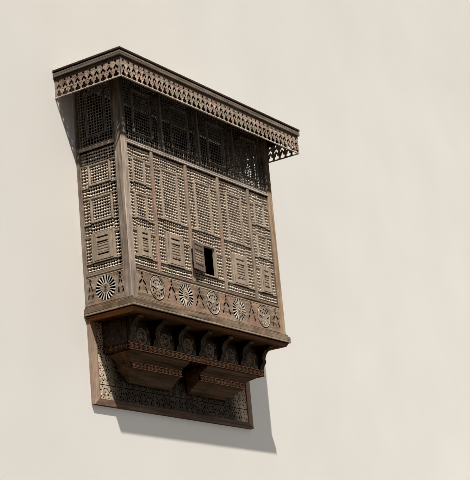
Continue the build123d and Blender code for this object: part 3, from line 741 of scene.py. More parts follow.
WIDE_HATCH = {"ring": (127.0, Z0 + 450, Z0 + 738), "leaf": (101.0, Z0 + 466, Z0 + 722),
              "slot": 64.0, "slots": (Z0 + 692, Z0 + 646, Z0 + 514), "mesh": (Z0 + 530, Z0 + 630)}
SLIM_HATCH = {"ring": (91.0, Z0 + 450, Z0 + 710), "leaf": (64.0, Z0 + 464, Z0 + 698),
              "slot": 40.0, "slots": (Z0 + 661, Z0 + 615, Z0 + 508), "mesh": (Z0 + 524, Z0 + 600)}
SIDE_HATCH = {"ring": (122.0, Z0 + 444, Z0 + 702), "leaf": (98.0, Z0 + 458, Z0 + 690),
              "slot": 61.0, "slots": (Z0 + 654, Z0 + 612, Z0 + 506), "mesh": (Z0 + 522, Z0 + 598)}
WIDE_FRAMES = [(130.0, Z0 + 854, Z0 + 1334)]
SLIM_FRAMES = [(91.0, Z0 + 1110, Z0 + 1344), (91.0, Z0 + 790, Z0 + 1024)]
SIDE_FRAMES = [(122.0, Z0 + 1122, Z0 + 1322), (122.0, Z0 + 792, Z0 + 1026)]
WIDE_RAILS = (1306, 860, 690, 454)
SLIM_RAILS = (1316, 1110, 1020, 790, 680, 452)
SIDE_RAILS = (1316, 1118, 1020, 790, 680, 448)
# rails that get a dark strip of painted shade below them
SHADE_STRIP_RAILS = (860, 454, 1110, 790, 452, 1118, 448)     # the rails under a frame
M2 = MULL_W / 2
PANELS = {
    "lattice_1": (FRONT, -IN_X, MULL_X[0] - M2, SLIM_FRAMES, SLIM_HATCH, SLIM_RAILS),
    "lattice_2": (FRONT, MULL_X[0] + M2, MULL_X[1] - M2, WIDE_FRAMES, WIDE_HATCH, WIDE_RAILS),
    "lattice_3": (FRONT, MULL_X[1] + M2, MULL_X[2] - M2, WIDE_FRAMES, WIDE_HATCH, WIDE_RAILS),
    "lattice_4": (FRONT, MULL_X[2] + M2, MULL_X[3] - M2, WIDE_FRAMES, WIDE_HATCH, WIDE_RAILS),
    "lattice_5": (FRONT, MULL_X[3] + M2, IN_X, SLIM_FRAMES, SLIM_HATCH, SLIM_RAILS),
    "lattice_left": (LEFT, SIDE0, SIDE1, SIDE_FRAMES, SIDE_HATCH, SIDE_RAILS),
    "lattice_right": (RIGHT, SIDE0, SIDE1, SIDE_FRAMES, SIDE_HATCH, SIDE_RAILS),
}


def main_panels():
    rings = Piece("panel_frame_mouldings", "lattice_wood", [M_FRAME, M_TAN], ["panel_frames"])
    leaves = Piece("hatch_leaves", "lattice_wood", [M_TAN, M_TAN], ["closed_leaves"])
    for name, (where, u0, u1, frames, hatch, rails) in PANELS.items():
        p = Piece("turned_" + name, "lattice_wood", [M_LAT if where is FRONT else M_LAT_S, M_FRAME, M_LATV, M_PAINTED_SHADE], [name])
        cu = (u0 + u1) / 2
        fh = max([f[0] for f in frames] + [hatch["ring"][0]])
        for a, b in ((u0, cu - fh), (cu + fh, u1)):
            lattice(p, where, a, b, Z_LOW + 5, Z_MID0 - 6, PU, PV)
            for z in rails:
                rail_bar(p, where, a, b, Z0 + z)
                # a dark strip under these rails: painted shade, the shadow line below them
                if z in SHADE_STRIP_RAILS:
                    p.add(block(a, b, Z0 + z - 13.5, Z0 + z - 6, -22.0, -13.5, 1.0), where, 3)
        levels = sorted([(f[1], f[2]) for f in frames] + [hatch["ring"][1:]])
        # a dark strip under each frame and the hatch ring: painted shade
        for a, b in levels:
            p.add(block(cu - fh, cu + fh, a - 6.0, a - 0.5, -22.0, -13.5, 1.0), where, 3)
        z = Z_LOW + 5
        for a, b in levels + [(Z_MID0 - 6, Z_MID0 - 6)]:
            if a - z > 20:
                lattice(p, where, cu - fh, cu + fh, z, a, PU, PV)
            z = b
        for half, a, b in frames:
            pitch = 24.5 if where is not FRONT else 25.4
            lattice(p, where, cu - half + 26, cu + half - 26, a + 26, b - 26, 26.0, pitch, "fine")
            rings.add(frame_ring(cu - half, cu + half, a, b, frame_section(26.0)), where, 0)
            if half < fh - 2:
                rings.add(block(cu - fh, cu - half, a, b, -30, -12), where, 0)
        p.make()
        rh, ra, rb = hatch["ring"]
        lh, la, lb = hatch["leaf"]
        for x0, x1, z0, z1 in ((cu - rh, cu - lh - 2, ra, rb), (cu + lh + 2, cu + rh, ra, rb),
                               (cu - lh - 2, cu + lh + 2, ra, la - 2), (cu - lh - 2, cu + lh + 2, lb + 2, rb)):
            rings.add(block(x0, x1, z0, z1, -(LAT_IN + LAT_T + 2), -(LAT_IN - 12.5), 2.0), where, 1)
        if name != "lattice_3":
            hatch_leaf(leaves, where, cu, hatch, (0, 1), rear=0.0, front=-2.0)
    rings.make()
    leaves.make()
    # the leaf that stands open
    leaf = Piece("open_hatch_leaf", "lattice_wood", [M_TAN, M_LEAF, M_PAINTED_SHADE], ["open_leaf"])
    px, py = -102.0, -DEPTH + LAT_IN - 16.0 - 1.0
    wide_slots = dict(WIDE_HATCH, slot=78.0)
    # the open leaf's slots are backed with the dark painted-shade wood
    hatch_leaf(leaf, ("LEAF", (px, py, -math.radians(172.0), DEPTH)), 0.0, wide_slots, (0, 1), rear=0.0, front=-2.0,
               painted_shade_backing=2)
    leaf.make()


def upper_panels():
    tm = TMULL_W / 2
    edges = [-IN_X] + [v for x in TMULL_X for v in (x - tm, x + tm)] + [IN_X]
    jobs = [(f"upper_lattice_{i + 1}", FRONT, edges[2 * i], edges[2 * i + 1], 138.0, 20.0, 88.0, 70.0)
            for i in range(4)]
    jobs += [("upper_lattice_left", LEFT, SIDE0, SIDE1, 108.0, 18.0, 88.0, 70.0),
             ("upper_lattice_right", RIGHT, SIDE0, SIDE1, 108.0, 18.0, 88.0, 70.0)]
    for name, where, u0, u1, half, w, low, high in jobs:
        p = Piece("turned_" + name, "upper_lattice_wood", [M_UP if where is FRONT else M_UP_S, M_UPBAR], [name])
        cu = (u0 + u1) / 2
        a, b = Z_MID1 + low, Z_HEAD - high
        for x0, x1 in ((u0, cu - half), (cu + half, u1)):
            lattice(p, where, x0, x1, Z_MID1, Z_HEAD, 29.2, 27.6, "upper", UP_C)
        lattice(p, where, cu - half, cu + half, Z_MID1, a, 29.2, 27.6, "upper", UP_C)
        lattice(p, where, cu - half, cu + half, b, Z_HEAD, 29.2, 27.6, "upper", UP_C)
        lattice(p, where, cu - half + w, cu + half - w, a + w, b - w, 29.2, 27.6, "upper", UP_C)
        p.add(frame_ring(cu - half, cu + half, a, b, frame_section(w, -6.0, -24.0)), where, 1)
        p.make()


# ---- posts, mullions and rails -------------------------------------------------------
def frame_members():
    p = Piece("corner_posts", "frame_wood", [M_POST, M_POST_F, M_POST_R], ["front_posts"])
    H, D = HALF, DEPTH
    for s in (-1, 1):
        # plan section of the post in (x, y), with a quirk beside the lattices
        sec = [(H - 80, -D + 80), (H - 80, -D + 3), (H - 77, -D), (H - 71, -D), (H - 69, -D + 3),
               (H - 67, -D), (H - 6, -D), (H, -D + 6), (H, -D + 65), (H - 3, -D + 67), (H, -D + 69),
               (H, -D + 77), (H - 3, -D + 80)]
        sec = ccw([(s * x, y) for x, y in sec])
        V, (c0, c1, sides) = prism(sec, Z0, Z_TOP, "n")
        # faces that look to the front get paler copies of the post wood: partly painted light on the sunlit front
        e = np.roll(np.array(sec), -1, 0) - np.array(sec)
        front = (-e[:, 0] < -abs(e[:, 1]) * 0.5) & (np.array(sec)[:, 1] < -D + 10)
        p.add((V, [c0, c1, sides[~front]]), ("T", 0.0), 0)
        p.add((V, [sides[front]]), ("T", 0.0), 1 if s < 0 else 2)
    p.make()
    q = Piece("mullion_bars", "frame_wood", [M_MULL], ["mullions"])
    for x in MULL_X:
        w = MULL_W / 2
        sec = [(-RAIL_D, x - w), (-RAIL_D, x + w), (-8, x + w), (-6, x + w - 4), (-8.5, x + w - 7), (-4, x + w - 10),
               (-4, x - w + 10), (-8.5, x - w + 7), (-6, x - w + 4), (-8, x - w)]
        q.add(prism(sec, Z_LOW, Z_MID0, "v"), FRONT, 0)
    q.make()
    r = Piece("upper_mullion_bars", "frame_wood", [M_UPBAR], ["upper_mullions"])
    for x in TMULL_X:
        w = TMULL_W / 2
        sec = [(-RAIL_D, x - w), (-RAIL_D, x + w), (-9, x + w), (-6, x + w - 3), (-6, x - w + 3), (-9, x - w)]
        r.add(prism(sec, Z_MID1, Z_HEAD, "v"), FRONT, 0)
    r.make()
    # the three rails, moulded along the edges
    for node, name, z0, z1, mats in (("mid_rails", "mid_rail_bars", Z_MID0, Z_MID1, [M_RAIL, M_RAIL_Y]),
                                     ("lower_rails", "lower_rail_bars", Z_APRON, Z_LOW, [M_LOWRAIL, M_LOWRAIL_Y]),
                                     ("head_rails", "head_rail_bars", Z_HEAD, Z_TOP, [M_UPBAR, M_UPBAR])):
        t = Piece(name, "frame_wood", mats + [M_PAINTED_SHADE], [node])
        h = z1 - z0
        sec = [(z0, -RAIL_D), (z1, -RAIL_D), (z1, -3), (z1 - 2, 0), (z1 - h * 0.30, 0), (z1 - h * 0.36, -2.5),
               (z0 + h * 0.20, -2.5), (z0 + h * 0.16, 0), (z0 + 2, 0), (z0, -2)]
        if node == "mid_rails":
            sec = [(z0 + 3, -RAIL_D), (z1 + 3, -RAIL_D), (z1 + 3, -3), (z1 + 1, 0), (z1 - 6.6, 0), (z1 - 8.5, -2.5),
                   (z0 + 10, -2.5), (z0 + 8, 0), (z0 + 6, 0.5), (z0 + 3, -2)]
            # a dark strip under the mid rail: painted shade
            for w, a, b in ((FRONT, -IN_X, IN_X), (LEFT, REAR_T, SIDE1), (RIGHT, REAR_T, SIDE1)):
                t.add(block(a, b, z0 - 8, z0 + 3, -30, -13.5, 1.0), w, 2)
        if node == "lower_rails":
            sec = [(z0, -RAIL_D), (z1 - 3, -RAIL_D), (z1 - 3, -4), (z1 - 5, -1), (z1 - 8, 1.0), (z0 + 7, 1.0),
                   (z0 + 3, 4.5), (z0 - 1, 4.5), (z0 - 3, 2.5), (z0 - 3, -1.5), (z0, -2)]
            side = [(z0, -RAIL_D), (z1 + 2, -RAIL_D), (z1 + 2, -4), (z1, -1), (z1 - 4, 1.0), (z0 + 2, 1.0),
                    (z0 - 2, 3.5), (z0 - 5, 3.5), (z0 - 7, 1.5), (z0 - 7, -1.5), (z0, -1.8)]
            # a dark strip along the lower rail's top: painted shade
            for w, a, b in ((FRONT, -IN_X, IN_X), (LEFT, REAR_T, SIDE1), (RIGHT, REAR_T, SIDE1)):
                t.add(block(a, b, z1 - 4, z1 + 6, -34, -14, 1.0), w, 2)
        t.add(prism([(v, n) for v, n in sec], -IN_X, IN_X, "u"), FRONT, 0)
        for w in (LEFT, RIGHT):
            t.add(prism(side if node == "lower_rails" else sec, REAR_T, SIDE1, "u"), w, 1)
        t.make()


# ---- apron -----------------------------------------------------------------------------
ROS_R, ROS_Z = 113.0, Z0 + 206.0
APRON_N = -2.0


def ring_sheet(cx, cy, n, seg=48):
    """Rings of a round relief: n is a list of (radius, height)."""
    t = np.arange(seg) * 2 * np.pi / seg
    V = np.stack([np.stack([cx + r * np.cos(t), cy + r * np.sin(t), np.full(seg, h)], -1) for r, h in n])
    idx = np.arange(len(n) * seg).reshape(len(n), seg)
    a, b = idx[:-1], idx[1:]
    q = np.stack([a, b, np.roll(b, -1, 1), np.roll(a, -1, 1)], -1).reshape(-1, 4)
    return V.reshape(-1, 3), [q]


def sunburst(p, where, cx, mat=1, rays=20, R=ROS_R):
    """A sunburst: pierced wedges between ridged rays, a scalloped rim and an eye."""
    cy = ROS_Z
    step = 2 * math.pi / rays
    holes = [circle(cx - 1, cy, 9.0, 10)]
    for i in range(rays):
        a = (i + 0.5) * step

        def at_(r, k):
            return (cx + r * math.cos(a + k * step), cy + r * math.sin(a + k * step))
        holes.append([at_(45, -0.25), at_(45, 0.25), at_(66, 0.30), at_(94, 0.31), at_(103, 0.26), at_(105.5, 0.0),
                      at_(103, -0.26), at_(94, -0.31), at_(66, -0.30)])
    p.pierced(sheet(circle(cx, cy, 108.0, 2 * rays), holes, APRON_N - 4.0, APRON_N - 1.0), where, 4)
    for i in range(rays):
        a = i * step
        rr = np.array([33.0, 52.0, 80.0, 99.0])
        p.add(ribbon(np.c_[cx + rr * np.cos(a), cy + rr * np.sin(a)], [3.0, 6.5, 10.5, 12.5], APRON_N - 1.2,
                     [1.0, 1.6, 2.0, 2.4], flat=0.7), where, 3)
        p.add(boss(cx + 101.0 * math.cos(a), cy + 101.0 * math.sin(a), 6.5, APRON_N - 1.5, 3.5, 7), where, 3)
    p.add(ring_sheet(cx, cy, [(105.0, APRON_N - 2), (107.5, APRON_N + 0.6), (110.5, APRON_N + 0.6), (R, APRON_N - 3)]),
          where, 0)
    p.add(frame_disc(cx, cy, 11, 18, APRON_N - 1.5, 5.5), where, 0)
    p.add(frame_disc(cx, cy, 27, 34, APRON_N - 1.5, 3.0), where, 0)
    p.add(leaflet(cx - 12, cy - 10, 0.7, 26, 9, APRON_N - 1.5, 6.0), where, mat)


def crescent(cx, cy, r, a0, a1, w, k=7):
    """A curved slit: thick in its middle, pointed at its ends."""
    t = np.linspace(0, 1, k)
    a = a0 + (a1 - a0) * t
    wd = w * np.sin(np.pi * (0.06 + 0.88 * t))
    out = [(cx + (r + d / 2) * math.cos(x), cy + (r + d / 2) * math.sin(x)) for x, d in zip(a, wd)]
    inn = [(cx + (r - d / 2) * math.cos(x), cy + (r - d / 2) * math.sin(x)) for x, d in zip(a, wd)]
    return out + inn[::-1]


def medallion(p, where, cx, mat=0, R=ROS_R, turn=0.2):
    """A pierced medallion: dots in two rings, comma slits and a broken groove."""
    cy = ROS_Z
    def strip(path, w):
        P = np.array(path, float)
        d = np.gradient(P, axis=0)
        d /= np.linalg.norm(d, axis=1)[:, None]
        h = (w / 2 * np.sin(np.pi * np.linspace(0.12, 0.88, len(P))))[:, None]
        q = np.c_[-d[:, 1], d[:, 0]] * h
        return [(cx + x, cy + y) for x, y in np.r_[P + q, (P - q)[::-1]]]

    holes = [strip([(-92, 6), (-72, 2), (-50, -2), (-30, -8), (-14, -17)], 13.0),
             strip([(40, -17), (58, -13), (75, -4), (90, 10)], 13.5)]
    for a in (0.62, 1.07, 1.52, 1.97, 2.42, 3.62, 4.08, 4.55, 5.02, 5.50):
        holes.append(circle(cx + 68 * math.cos(a), cy + 68 * math.sin(a), 10.5, 9))
    for a in (1.05, 2.05, 4.35, 5.25):
        holes.append(circle(cx + 38 * math.cos(a), cy + 38 * math.sin(a), 8.5, 8))
    for a in (0.45, 2.55, 3.75, 5.55):
        holes.append(crescent(cx, cy, 90.5, a, a + 0.75, 9.0, 8))
    p.pierced(sheet(circle(cx, cy, 104, 48), holes, APRON_N - 4.0, APRON_N - 1.0), where, 4)
    p.add(ring_sheet(cx, cy, [(96.5, APRON_N - 1.2), (98.0, 0.6), (101.5, 0.9), (103.2, APRON_N - 0.9)]), where, 1)
    # the sunk ring round the rim is in the dark painted-shade wood: a groove's shadow painted in
    p.add(ring_sheet(cx, cy, [(103.5, APRON_N - 1.0), (104.5, -9.0), (R + 1.0, -9.0)]), where, 2)
    # raised lips beside the commas
    for path in ([(-88, -6), (-66, -9), (-46, -14), (-28, -21)], [(38, -5), (58, -1), (74, 8), (84, 19)]):
        p.add(ribbon([(cx + x, cy + y) for x, y in path], 5.0, APRON_N - 1.5, 3.0), where, 1)
    p.add(boss(cx - 4, cy + 4, 10.0, APRON_N - 1.5, 6.0, 10), where, 1)


def frame_disc(cx, cy, r0, r1, n0=APRON_N - 1.5, h=3.5, seg=24):
    t = np.arange(seg) * 2 * np.pi / seg
    rm = (r0 + r1) / 2
    return ribbon(np.c_[cx + rm * np.cos(t), cy + rm * np.sin(t)], r1 - r0, n0, h, closed=True)


def motif(c, k=1.0):
    z = ROS_Z
    out = [circle(c, z + 91, 12.5, 9, 0.5), circle(c, z + 61, 11.0, 9, 0.2)]
    for s in (-1, 1):
        out.append([(c + s * 3.5, z + 40), (c + s * (8 + 4 * k), z + 45), (c + s * (48 * k + 2), z + 7),
                    (c + s * 37 * k, z - 7), (c + s * 3.5, z + 27)])
        out.append([(c + s * (34 * k - 9), z - 26), (c + s * (34 * k + 9), z - 20), (c + s * (58 * k + 10), z - 64),
                    (c + s * (58 * k - 10), z - 73)])
    return out


def motif_relief(p, where, c, k=1.0, mat=0):
    """Raised lines beside the slits of a motif."""
    z = ROS_Z
    n0, h = APRON_N - 0.5, 2.4
    for s in (-1, 1):
        p.add(ribbon([(c + s * (6 * k + 3), z + 76), (c + s * (22 * k + 3), z + 56), (c + s * (48 * k + 4), z + 32),
                      (c + s * (66 * k + 4), z + 14), (c + s * (60 * k + 3), z - 8)], 4.0, n0, h), where, mat)
        p.add(ribbon([(c + s * (20 * k + 1), z + 2), (c + s * (26 * k + 1), z - 22), (c + s * (46 * k), z - 56),
                      (c + s * (50 * k), z - 84)], 3.6, n0, h * 0.6), where, mat)
        p.add(ribbon([(c + s * 2, z + 16), (c + s * (8 * k + 2), z - 16), (c + s * (14 * k + 1), z - 50),
                      (c + s * 3, z - 82)], 4.5, n0, h), where, mat)
        p.add(leaflet(c + s * (24 * k), z + 74, math.pi / 2 - s * 0.9, 26 * k + 6, 10, n0, h), where, mat)
    p.add(frame_disc(c, z + 91, 14.5, 19.0, n0, 2.2, 16), where, mat)


def apron():
    for name, node, jobs in (
        ("carved_apron_front", "apron_front", [(FRONT, -IN_X, IN_X, [208.5 * k for k in (-5, -3, -1, 1, 3, 5)],
                                                [(417.0 * k, k % 2 != 0) for k in (-2, -1, 0, 1, 2)], 1.0)]),
        ("carved_apron_sides", "apron_sides", [(w, SIDE0, SIDE1, [SIDE_C - 157, SIDE_C + 157], [(SIDE_C, True)], 0.42)
                                                for w in (LEFT, RIGHT)])):
        mats = [M_CARVE if name.endswith("front") else M_CARVE_Y, M_ROS, M_PAINTED_SHADE, M_RAY, M_MED]
        p = Piece(name, "carved_wood", mats, [node])
        for where, u0, u1, motifs, rosettes, k in jobs:
            # one board for each ornament, side by side
            cuts = [u0] + [x for c, _ in rosettes for x in (c - 118.0, c + 118.0)] + [u1]
            for i, (a, b) in enumerate(zip(cuts, cuts[1:])):
                hole = [circle(rosettes[i // 2][0], ROS_Z, ROS_R - 1.0, 48)] if i % 2 else motif(motifs[i // 2], k)
                p.pierced(sheet([(a, Z0), (b, Z0), (b, Z_APRON), (a, Z_APRON)], hole, -11.0, APRON_N), where, 0)
            for c in motifs:
                motif_relief(p, where, c, k)
            for c, sun in rosettes:
                if sun:
                    sunburst(p, where, c)
                else:
                    medallion(p, where, c)
            # thin bead along the top and the foot
            for z, m in ((Z_APRON - 21, 1), (Z0 + 88, 0)):
                p.add(block(u0, u1, z - 3, z + 3, APRON_N - 1, APRON_N + 2.2, 1.5), where, m)
        p.make()


# ---- canopy ------------------------------------------------------------------------------
VCELL = 2 * 1391.0 / 38


def valance_holes(c, k=1.0):
    z = VAL_Z0
    return [circle(c, z + 146, 12.5, 10),
            [(c, z + 119), (c - 8, z + 111), (c - 25 * k, z + 91), (c - 25 * k, z + 76), (c - 13 * k, z + 75), (c, z + 95),
             (c + 13 * k, z + 75), (c + 25 * k, z + 76), (c + 25 * k, z + 91), (c + 8, z + 111)],
            [(c, z + 65), (c - 8, z + 61), (c - 12.5, z + 52), (c - 11.5, z + 44), (c - 10, z + 40), (c - 20 * k, z + 38),
             (c - 27 * k, z + 30), (c - 27 * k, z + 18), (c - 20 * k, z + 10), (c - 9, z + 7), (c + 9, z + 7),
             (c + 20 * k, z + 10), (c + 27 * k, z + 18), (c + 27 * k, z + 30), (c + 20 * k, z + 38), (c + 10, z + 40),
             (c + 11.5, z + 44), (c + 12.5, z + 52), (c + 8, z + 61)]]


VAL_B = -6.0      # back of the thin pierced board


def valance_cell(p, where, c, w, mat=0, back=VAL_B):
    """One repeat of the pierced valance: dot, chevron and flame, with raised straps."""
    z = VAL_Z0
    p.pierced(sheet([(c - w / 2, z), (c + w / 2, z), (c + w / 2, VAL_Z1), (c - w / 2, VAL_Z1)], valance_holes(c),
                    back, 0.0), where, mat)
    n0, h = -0.5, 2.6
    for s in (-1, 1):
        # straps from the dot, round the chevron, to the next flame
        p.add(ribbon([(c + s * 2, z + 129), (c + s * 12, z + 124), (c + s * 28, z + 104), (c + s * 32, z + 86),
                      (c + s * 29, z + 71), (c + s * 16, z + 66)], 4.0, n0, h), where, mat)
        p.add(ribbon([(c + s * w / 2, z + 160), (c + s * (w / 2 - 8), z + 144), (c + s * 20, z + 136),
                      (c + s * 18, z + 152)], 4.0, n0, h), where, mat)
        p.add(ribbon([(c + s * w / 2, z + 62), (c + s * (w / 2 - 7), z + 52), (c + s * 26, z + 45),
                      (c + s * 31.5, z + 37), (c + s * (w / 2 - 2), z + 24)], 3.6, n0, h), where, mat)
    p.add(leaflet(c, z + 66, math.pi / 2, 18, 10, n0, 3.0), where, mat)


def valance_edge(p, where, a, b, mat):
    """Bottom bead, top ledge and back battens of the pierced board."""
    p.add(block(a, b, VAL_Z0 - 2, VAL_Z0 + 6.5, VAL_B - 3, 4.0, 1.5), where, mat)
    p.add(block(a, b, VAL_Z1 - 12, VAL_Z1, -VAL_T, VAL_B + 1, 1.5), where, 0)


def canopy():
    p = Piece("pierced_valance_front", "valance_wood", [M_VAL, M_VALEDGE, M_PAINTED_SHADE], ["valance_front"])
    for i in range(39):
        c = -1391.0 + i * VCELL
        if i in (0, 38):
            valance_end(p, ("F", VY), c, -VX if i == 0 else VX)
        else:
            valance_cell(p, ("F", VY), c, VCELL)
    valance_edge(p, ("F", VY), -VX, VX, 1)
    p.make()
    q = Piece("pierced_valance_sides", "valance_wood", [M_VAL_Y, M_VALEDGE, M_PAINTED_SHADE], ["valance_sides"])
    for w in (("L", VX), ("R", VX)):
        for i in range(10):
            c = 43.0 + 69.0 * i
            if i in (0, 9):
                valance_end(q, w, c, 0.0 if i == 0 else VY - 6.0, step=69.0)
            else:
                valance_cell(q, w, c, 69.0, back=-14.0)
        valance_edge(q, w, 0, VY - 6.0, 1)
    q.make()
    # boards over the canopy, on a recessed dark batten
    r = Piece("roof_planks", "canopy_wood", [M_ROOF, M_BLACK, M_NOSE], ["roof_boards"])
    r.add(block(-CAN_HX + 14, CAN_HX - 14, -CAN_D + 14, 0.0, 0.0, 15.0, 0.5), ("T", Z0 + 2128.0), 1)
    nosing = [(17, 2135), (37, 2135), (38.5, 2137.5), (38.5, 2149), (36, 2154.5), (17, 2155)]
    for run in ("front", -1, 1):
        r.add(mitred(nosing, CAN_HX - 40, CAN_D - 43, run), ("T", 0.0), 2)
    k = 6
    step = (CAN_D - 25.0) / k
    for i in range(k):
        y0 = -CAN_D + 25 + i * step
        r.add(block(-CAN_HX + 22, CAN_HX - 22, y0 + (1.5 if i else 0), y0 + step - (1.5 if i < k - 1 else 0), 14.0,
                    27.0 + 1.2 * (i % 2), 2.0), ("T", Z0 + 2128.0), 0)
    r.make()


def valance_end(p, where, c, edge, step=VCELL):
    """The repeat beside a corner: its outer half runs to the edge."""
    a, b = sorted((edge, c + step / 2 if edge < c else c - step / 2))
    k = min(1.0, (min(c - a, b - c) - 3.0) / 25.0)
    p.pierced(sheet([(a, VAL_Z0), (b, VAL_Z0), (b, VAL_Z1), (a, VAL_Z1)], valance_holes(c, k), VAL_B, 0.0), where, 0)


# ---- carving ----------------------------------------------------------------------------------
def vine(p, where, u0, u1, v0, v1, n0, h, mat=0, period=None, rib=5.0, leaf=12.0):
    """A running vine: a waving stem with a curl and leaves in each bay."""
    H = v1 - v0
    vm = (v0 + v1) / 2
    P = period or 1.9 * H
    n = max(2, round((u1 - u0) / (P / 2)))
    P = 2 * (u1 - u0) / n
    A = H * 0.30
    t = np.linspace(u0, u1, n * 6 + 1)
    p.add(ribbon(np.c_[t, vm + A * np.sin(2 * np.pi * (t - u0) / P)], rib, n0, h), where, mat)
    for i in range(n):
        c = u0 + (i + 0.5) * P / 2
        s = -1 if i % 2 == 0 else 1
        r = min(P * 0.21, H * 0.34)
        p.add(ribbon(spiral(c, vm + s * H * 0.06, r, r * 0.25, -s * 1.2, s * 1.15, 11), rib * 0.85, n0, h), where, mat)
        p.add(leaflet(c - P * 0.10, vm + s * H * 0.30, s * 1.1, leaf, leaf * 0.6, n0, h * 1.1), where, mat)
        p.add(leaflet(c + P * 0.12, vm + s * H * 0.30, math.pi - s * 1.1, leaf, leaf * 0.6, n0, h * 1.1), where, mat)
        p.add(boss(c, vm + s * H * 0.06, r * 0.24, n0, h * 1.2, 7), where, mat)


def arabesque(p, where, u0, u1, v0, v1, cell, n0, h, mat=0):
    """Mirrored scrolls and leaves in rows over a panel."""
    nu, nv = max(1, round((u1 - u0) / cell)), max(1, round((v1 - v0) / cell))
    su, sv = (u1 - u0) / nu, (v1 - v0) / nv
    for j in range(nv):
        for i in range(nu):
            cx, cy = u0 + (i + 0.5) * su, v0 + (j + 0.5) * sv
            m = 1 if (i + j) % 2 == 0 else -1
            r = min(su, sv) * 0.34
            p.add(ribbon(spiral(cx, cy, r, r * 0.22, m * 0.6, m * 1.2, 11), r * 0.26, n0, h), where, mat)
            p.add(ribbon([(cx + m * r * 0.9, cy + r * 0.5), (cx + m * su * 0.42, cy + sv * 0.12),
                          (cx + m * su * 0.5, cy - sv * 0.2), (cx + m * su * 0.40, cy - sv * 0.46)],
                         r * 0.24, n0, h), where, mat)
            for a in (0.9, 2.5, 4.1, 5.5):
                p.add(leaflet(cx + m * r * 1.02 * math.cos(a), cy + r * 1.02 * math.sin(a),
                              (a if m > 0 else math.pi - a) + 0.7 * m, r * 0.62, r * 0.34, n0, h * 1.1), where, mat)


def mitred(sec, hx, d, run):
    """A moulding of section (outward, z) round a three-sided box, mitred at its corners."""
    sec = ccw(list(sec))
    if run == "front":
        ends = [[(-(hx + o), -(d + o), Z0 + z) for o, z in sec], [(hx + o, -(d + o), Z0 + z) for o, z in sec]]
    else:
        ends = [[(run * (hx + o), 0.0, Z0 + z) for o, z in sec], [(run * (hx + o), -(d + o), Z0 + z) for o, z in sec]]
    m = len(sec)
    V = np.array(ends[0] + ends[1], float)
    T = fill([[(o, z) for o, z in sec]])
    i = np.arange(m)
    j = (i + 1) % m
    q = np.stack([i, j, j + m, i + m], 1)
    faces = [T[:, ::-1], T + m, q]
    # outward has to be away from the box: turn all if the first run says otherwise
    a, b, c_ = V[q[0][0]], V[q[0][1]], V[q[0][2]]
    nrm = np.cross(b - a, c_ - b)
    e = np.array(sec[1]) - np.array(sec[0])
    want2 = (e[1], -e[0])
    want = np.array([0, -want2[0], want2[1]]) if run == "front" else np.array([run * want2[0], 0, want2[1]])
    if float(nrm @ want) < 0:
        faces = [f[:, ::-1] for f in faces]
    return V, faces


def edge_rib(path, x, r):
    """A thin square rib along a path in the side plane (v, n), at x."""
    P = np.array(path, float)
    d = np.gradient(P, axis=0)
    d /= np.linalg.norm(d, axis=1)[:, None] + 1e-9
    nr = np.stack([-d[:, 1], d[:, 0]], 1)
    rings = []
    for su, sn in ((-1, -1), (1, -1), (1, 1), (-1, 1)):
        q = P + nr * (sn * r)
        rings.append(np.stack([np.full(len(P), x + su * r), q[:, 0], q[:, 1]], -1))
    V = np.stack(rings, 1)
    m = len(P)
    idx = np.arange(m * 4).reshape(m, 4)
    a, b = idx[:-1], idx[1:]
    q = np.stack([a, b, np.roll(b, -1, 1), np.roll(a, -1, 1)], -1).reshape(-1, 4)
    return V.reshape(-1, 3), [q, np.array([idx[0], idx[-1][::-1]])]


